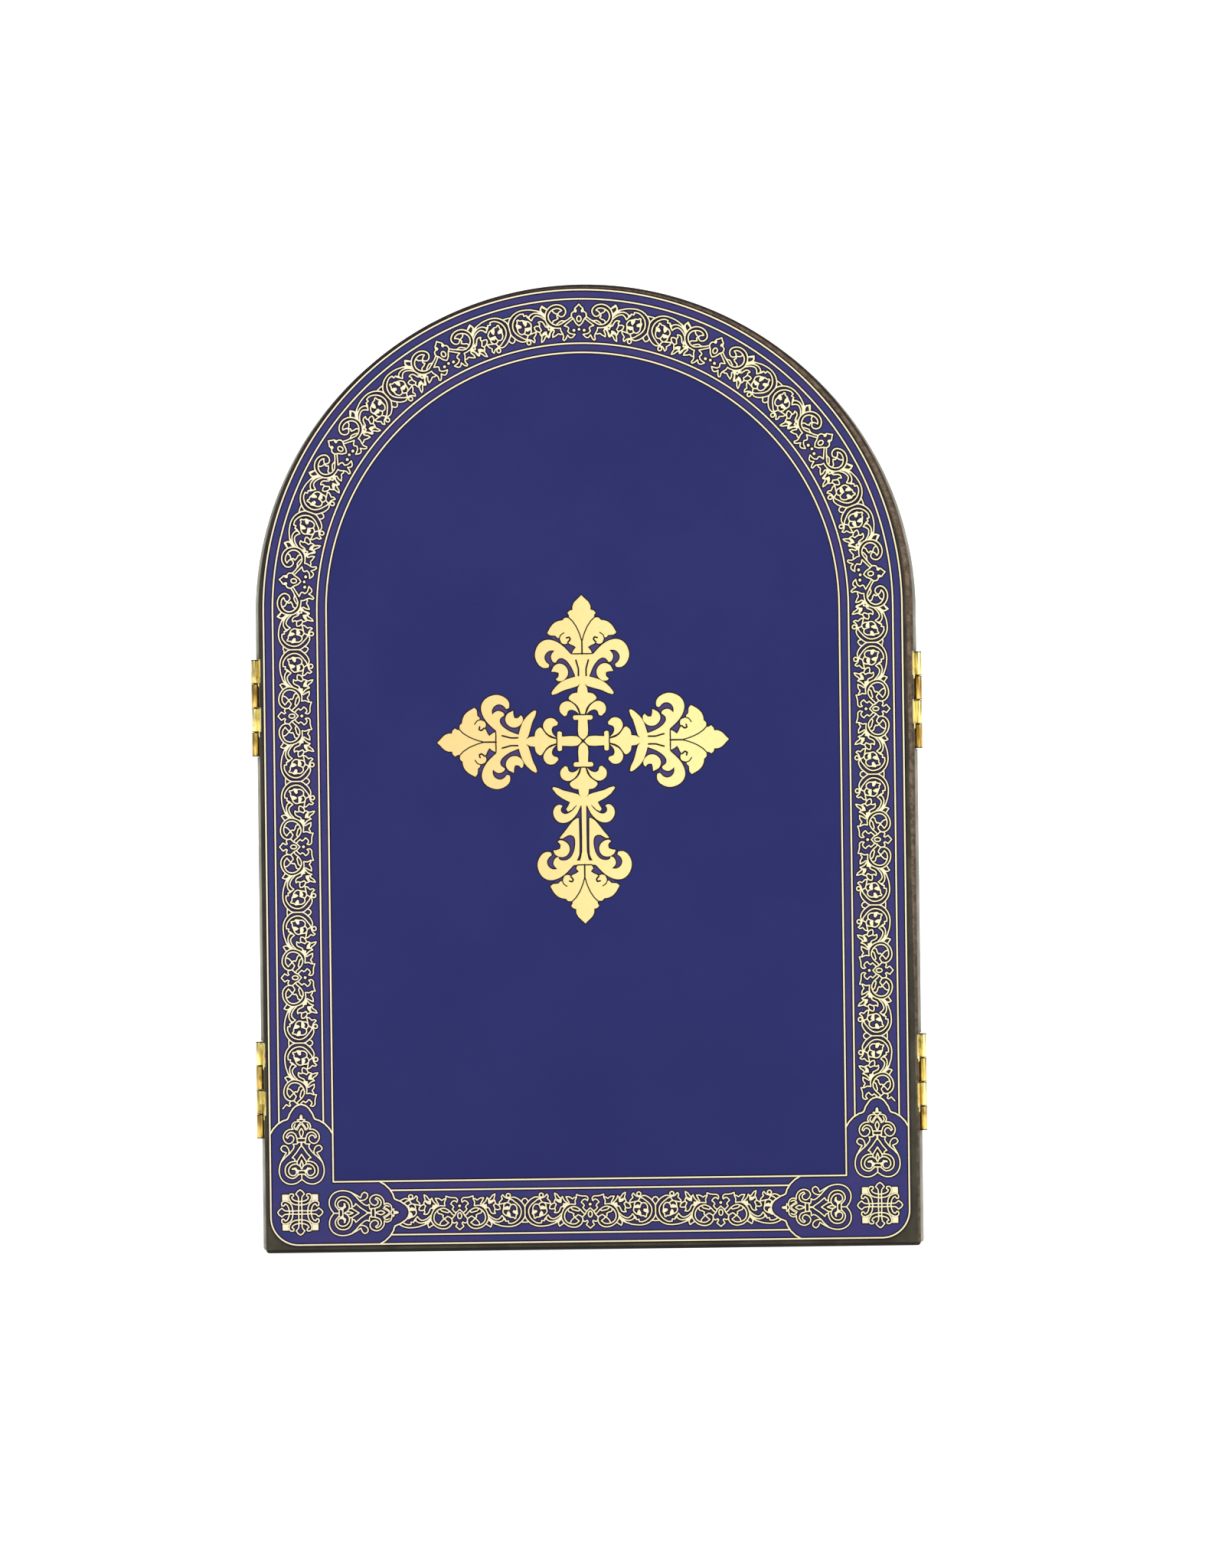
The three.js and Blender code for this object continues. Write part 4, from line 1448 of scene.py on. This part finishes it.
def nail(node, side):
    # a domed head on a round shank, driven through the leaf into the board's side
    lo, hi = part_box(node)
    middle = (lo + hi) / 2
    rise = hinge["headRise"] * mm
    headX = hi.x if side > 0 else lo.x
    startFresh()
    bpy.ops.mesh.primitive_cylinder_add(
        vertices=hinge["headSides"], radius=hinge["headRadius"] * mm, depth=rise,
        location=(headX - side * rise / 2, middle.y, middle.z), rotation=(0, rightAngle, 0))
    piece = openForShaping()
    selectPart(piece, "FACE", lambda centre, normal: normal.x * side > 0.9)
    bpy.ops.mesh.bevel(offset=rise * hinge["domed"], segments=hinge["headSteps"],
                       affect="EDGES")
    selectPart(piece, "FACE", lambda centre, normal: normal.x * side < -0.9)
    bpy.ops.mesh.inset(thickness=(hinge["headRadius"] - hinge["shank"]) * mm)
    drawOut(-side * (hi.x - lo.x - rise), 0, 0)
    makeActive(piece)
    bpy.ops.object.shade_smooth_by_angle(angle=hinge["softEdge"])
    return piece


for height in ("upper", "lower"):
    for side, sign in (("left", -1), ("right", 1)):
        for kind, body, brass in (("board", "centre", litBoardBrass),
                                  ("wing", f"{side}_wing", shadedWingBrass)):
            node = f"{height}_{side}_{kind}"
            name = f"{height}{side.title()}{kind.title()}"
            settle(rolledLeaf(f"{node}_leaf", sign, kind), f"{name}Leaf", brass,
                   "hinge_brass", body, f"{node}_leaf")
            for place in ("low", "high"):
                settle(nail(f"{node}_nail_{place}", sign), f"{name}Nail{place.title()}", brass,
                       "hinge_brass", body, f"{node}_nail_{place}")
        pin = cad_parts[f"{height}_{side}_hinge_pin"]
        pin.data.materials.clear()
        pin.data.materials.append(shadedPinBrass.material)
print("triptych: hinges hung")

# The sheets that don't show when the triptych is closed and seen from behind
hidden = {
    "rim": 1.75,                # bare board round a sheet
    "corner": 1.5,
    "fillets": ((2.2, 0.4), (3.4, 0.25)),   # distance inside the sheet's edge, line width
    "arcSteps": 64,
    "band": 4.2,
    "crossScale": 0.5,          # of the cross on the back
    "crossHeight": 0.56,        # of the sheet's height
    "plainCross": (9.0, 14.0, 22.0, 1.6, 3.2),  # arm, head, foot, half stem, half end
    "widensFrom": 0.6,          # of an arm's length
    "relief": 0.05,
}


def sheetLoop(centreX, radius, lo, hi, inset):
    # a closed line a set distance inside a sheet with a round or half-round head
    reach = radius - inset
    left = max(lo.x + inset, centreX - reach)
    right = min(hi.x - inset, centreX + reach)
    spring = hi.z - radius
    first = math.acos(max(-1, min(1, (right - centreX) / reach)))
    last = math.acos(max(-1, min(1, (left - centreX) / reach)))
    steps = hidden["arcSteps"]
    path = [Vector((left, lo.z + inset)), Vector((right, lo.z + inset))]
    for step in range(steps + 1):
        angle = first + (last - first) * step / steps
        path.append(Vector((centreX + reach * math.cos(angle), spring + reach * math.sin(angle))))
    return [point / mm for point in path]


def plainCross(across, up):
    # a cross with widening ends
    arm, head, foot, stem, end = hidden["plainCross"]
    outline = []
    for turn, reach in ((0, head), (1, arm), (2, foot), (3, arm)):
        angle = -turn * rightAngle
        waist = reach * hidden["widensFrom"]
        for x, y in ((-stem, stem), (-stem, waist), (-end, reach), (end, reach), (stem, waist)):
            outline.append(Vector((across + x * math.cos(angle) - y * math.sin(angle),
                                   up + x * math.sin(angle) + y * math.cos(angle))))
    return outline


def dressSheet(name, node, body, centreX, outer):
    # outer faces: blue print with gold fillets and a small cross in gold; faces that close on
    # one another: gold ground with dark fillets and a plain cross
    lo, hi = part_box(node)
    radius = board["radius"] - hidden["rim"] * mm
    spring = hi.z - radius
    sheet = archSlab(centreX, radius, spring, lo, hi, corner=hidden["corner"] * mm)
    if outer:
        finish = bluePrint(f"{name}Print", centreX, radius, spring, lo.z, hidden["band"])
    else:
        finish = innerGold
    settle(sheet, f"{name}Sheet", finish, "blue_sheet" if outer else "gold_sheet", body, node)
    face, outward = (hi.y, 1) if outer or body == "centre" else (lo.y, -1)
    drawn = Drawing()
    for inset, wide in hidden["fillets"]:
        drawn.lines.append((sheetLoop(centreX, radius, lo, hi, inset * mm), wide, True))
    across = (lo.x + hi.x) / 2 / mm
    up = (lo.z + (hi.z - lo.z) * hidden["crossHeight"]) / mm
    slits = []
    if outer:
        small = placeCross(across, up, hidden["crossScale"])
        drawn.add(small)
        slits = small.slits()
    else:
        drawn.fills.append(plainCross(across, up))
    piece = inlay([joinFlat(drawn.shapes(1.0), slits)], face, hidden["relief"], outward)
    settle(piece, f"{name}Ornament", lineGold if outer else keyInk,
           "gold_sheet" if outer else "blue_sheet", body)


# the wings get the paler lacquer: painted light, a lit copy of the centre board's olive
litWingFinish = lacquer("litPaleWingLacquer", board["radius"] + lacquerTones["wingStandsOut"] * mm,
                     board["spring"], pale=True)
slack = Vector(hinge["wingSlack"]) * mm
for side, sign in (("left", -1), ("right", 1)):
    lo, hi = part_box(f"{side}_wing_board")
    centreX = (lo.x if sign < 0 else hi.x) - sign * board["radius"]
    wing = archSlab(centreX, board["radius"], board["spring"], lo, hi,
                    edgeRound=board["edgeRound"])
    for height in ("upper", "lower"):
        leafLo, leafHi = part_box(f"{height}_{side}_wing_leaf")
        boardLeafLo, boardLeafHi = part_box(f"{height}_{side}_board_leaf")
        recessLo = Vector(map(min, leafLo, boardLeafLo)) - slack
        recessHi = Vector(map(max, leafHi, boardLeafHi)) + slack
        if sign < 0:
            recessLo.x -= hinge["recessOpen"] * mm
        else:
            recessHi.x += hinge["recessOpen"] * mm
        cutRecess(wing, recessLo, recessHi)
    settle(wing, f"{side}Wing", litWingFinish, "lacquered_board", f"{side}_wing",
           f"{side}_wing_board")
    for kind in ("inner", "outer"):
        dressSheet(f"{side}Wing{kind.title()}", f"{side}_wing_{kind}_sheet", f"{side}_wing",
                   centreX, kind == "outer")
dressSheet("front", "front_sheet", "centre", 0, False)
print("triptych: wings and front dressed")


# Floor, light and camera, in metres and watts
studio = {
    "floorReach": 6.0,
    "wallBehind": 2.2,
    "wallTall": 4,
    "sweep": 1.0,
    "sweepSteps": 24,
    "floorGlow": 0.75,
    "roomLight": 0.27,
    "lampAim": (0, 0, 0.1),
    "lamps": {              # place, size and power
        "keyLight": ((-0.9, -1.6, 1.5), 1.4, 16),
        "fillLight": ((1.3, -1.3, 0.7), 1.2, 10),
        "topLight": ((0, 0.1, 1.8), 1.6, 9),
    },
    "sensor": 36,
    "cameraAway": 1.5,
    "frameTall": 0.341,     # height of the frame at the sheet's face
    "aimAcross": 0.0054,
    "aimUp": 0.1012,
    "roll": 0.73,           # degrees, the top to the left
}


def makeStudio():
    # a pale floor that sweeps up into a wall behind
    reach, wallY = studio["floorReach"], studio["wallBehind"]
    startFresh()
    bpy.ops.mesh.primitive_plane_add(size=1, location=(0, wallY - reach / 2, 0))
    bpy.context.active_object.scale = (reach * 2, reach, 1)
    floor = openForShaping()
    farSide = wallY - 0.01
    selectPart(floor, "EDGE", lambda middle, along: middle.y > farSide)
    drawOut(0, 0, studio["wallTall"])
    selectPart(floor, "EDGE", lambda middle, along: middle.y > farSide and abs(middle.z) < 0.01
               and abs(along.x) > 0.1)
    bpy.ops.mesh.bevel(offset=studio["sweep"], segments=studio["sweepSteps"], affect="EDGES")
    makeActive(floor)
    bpy.ops.object.shade_smooth()
    floor.name = "studioFloor"
    pale = Finish("paleFloor", Roughness=0.9, Specular_IOR_Level=0.0)
    tone = pale.mix(pale.noise(3, 2), (0.86, 0.86, 0.86), (0.9, 0.9, 0.9))
    pale.put("Base Color", tone)
    pale.put("Emission Color", (1.0, 1.0, 1.0))
    pale.put("Emission Strength", studio["floorGlow"])
    floor.data.materials.append(pale.material)


def hang(name, data):
    # puts a lamp or a camera in the scene
    holder = bpy.data.objects.new(name, data)
    bpy.context.scene.collection.objects.link(holder)
    return holder


makeStudio()
for name, (place, size, watts) in studio["lamps"].items():
    lamp = bpy.data.lights.new(name, "AREA")
    lamp.shape = "RECTANGLE"
    lamp.size = lamp.size_y = size
    lamp.energy = watts
    holder = hang(name, lamp)
    holder.location = place
    aim = Vector(studio["lampAim"]) - Vector(place)
    holder.rotation_euler = aim.to_track_quat("-Z", "Y").to_euler()
world = bpy.data.worlds.new("softRoom")
bpy.context.scene.world = world
world.use_nodes = True
room = world.node_tree.nodes["Background"].inputs
room["Color"].default_value = (1, 1, 1, 1)
room["Strength"].default_value = studio["roomLight"]

lens = bpy.data.cameras.new("camera")
lens.sensor_width = studio["sensor"]
lens.lens = studio["sensor"] * studio["cameraAway"] / studio["frameTall"]
camera = hang("camera", lens)
camera.location = (studio["aimAcross"], sheetLo.y - studio["cameraAway"], studio["aimUp"])
camera.rotation_euler = (rightAngle, math.radians(studio["roll"]), 0)
bpy.context.scene.camera = camera
bpy.context.scene.view_settings.view_transform = "Standard"

print("triptych: studio ready")
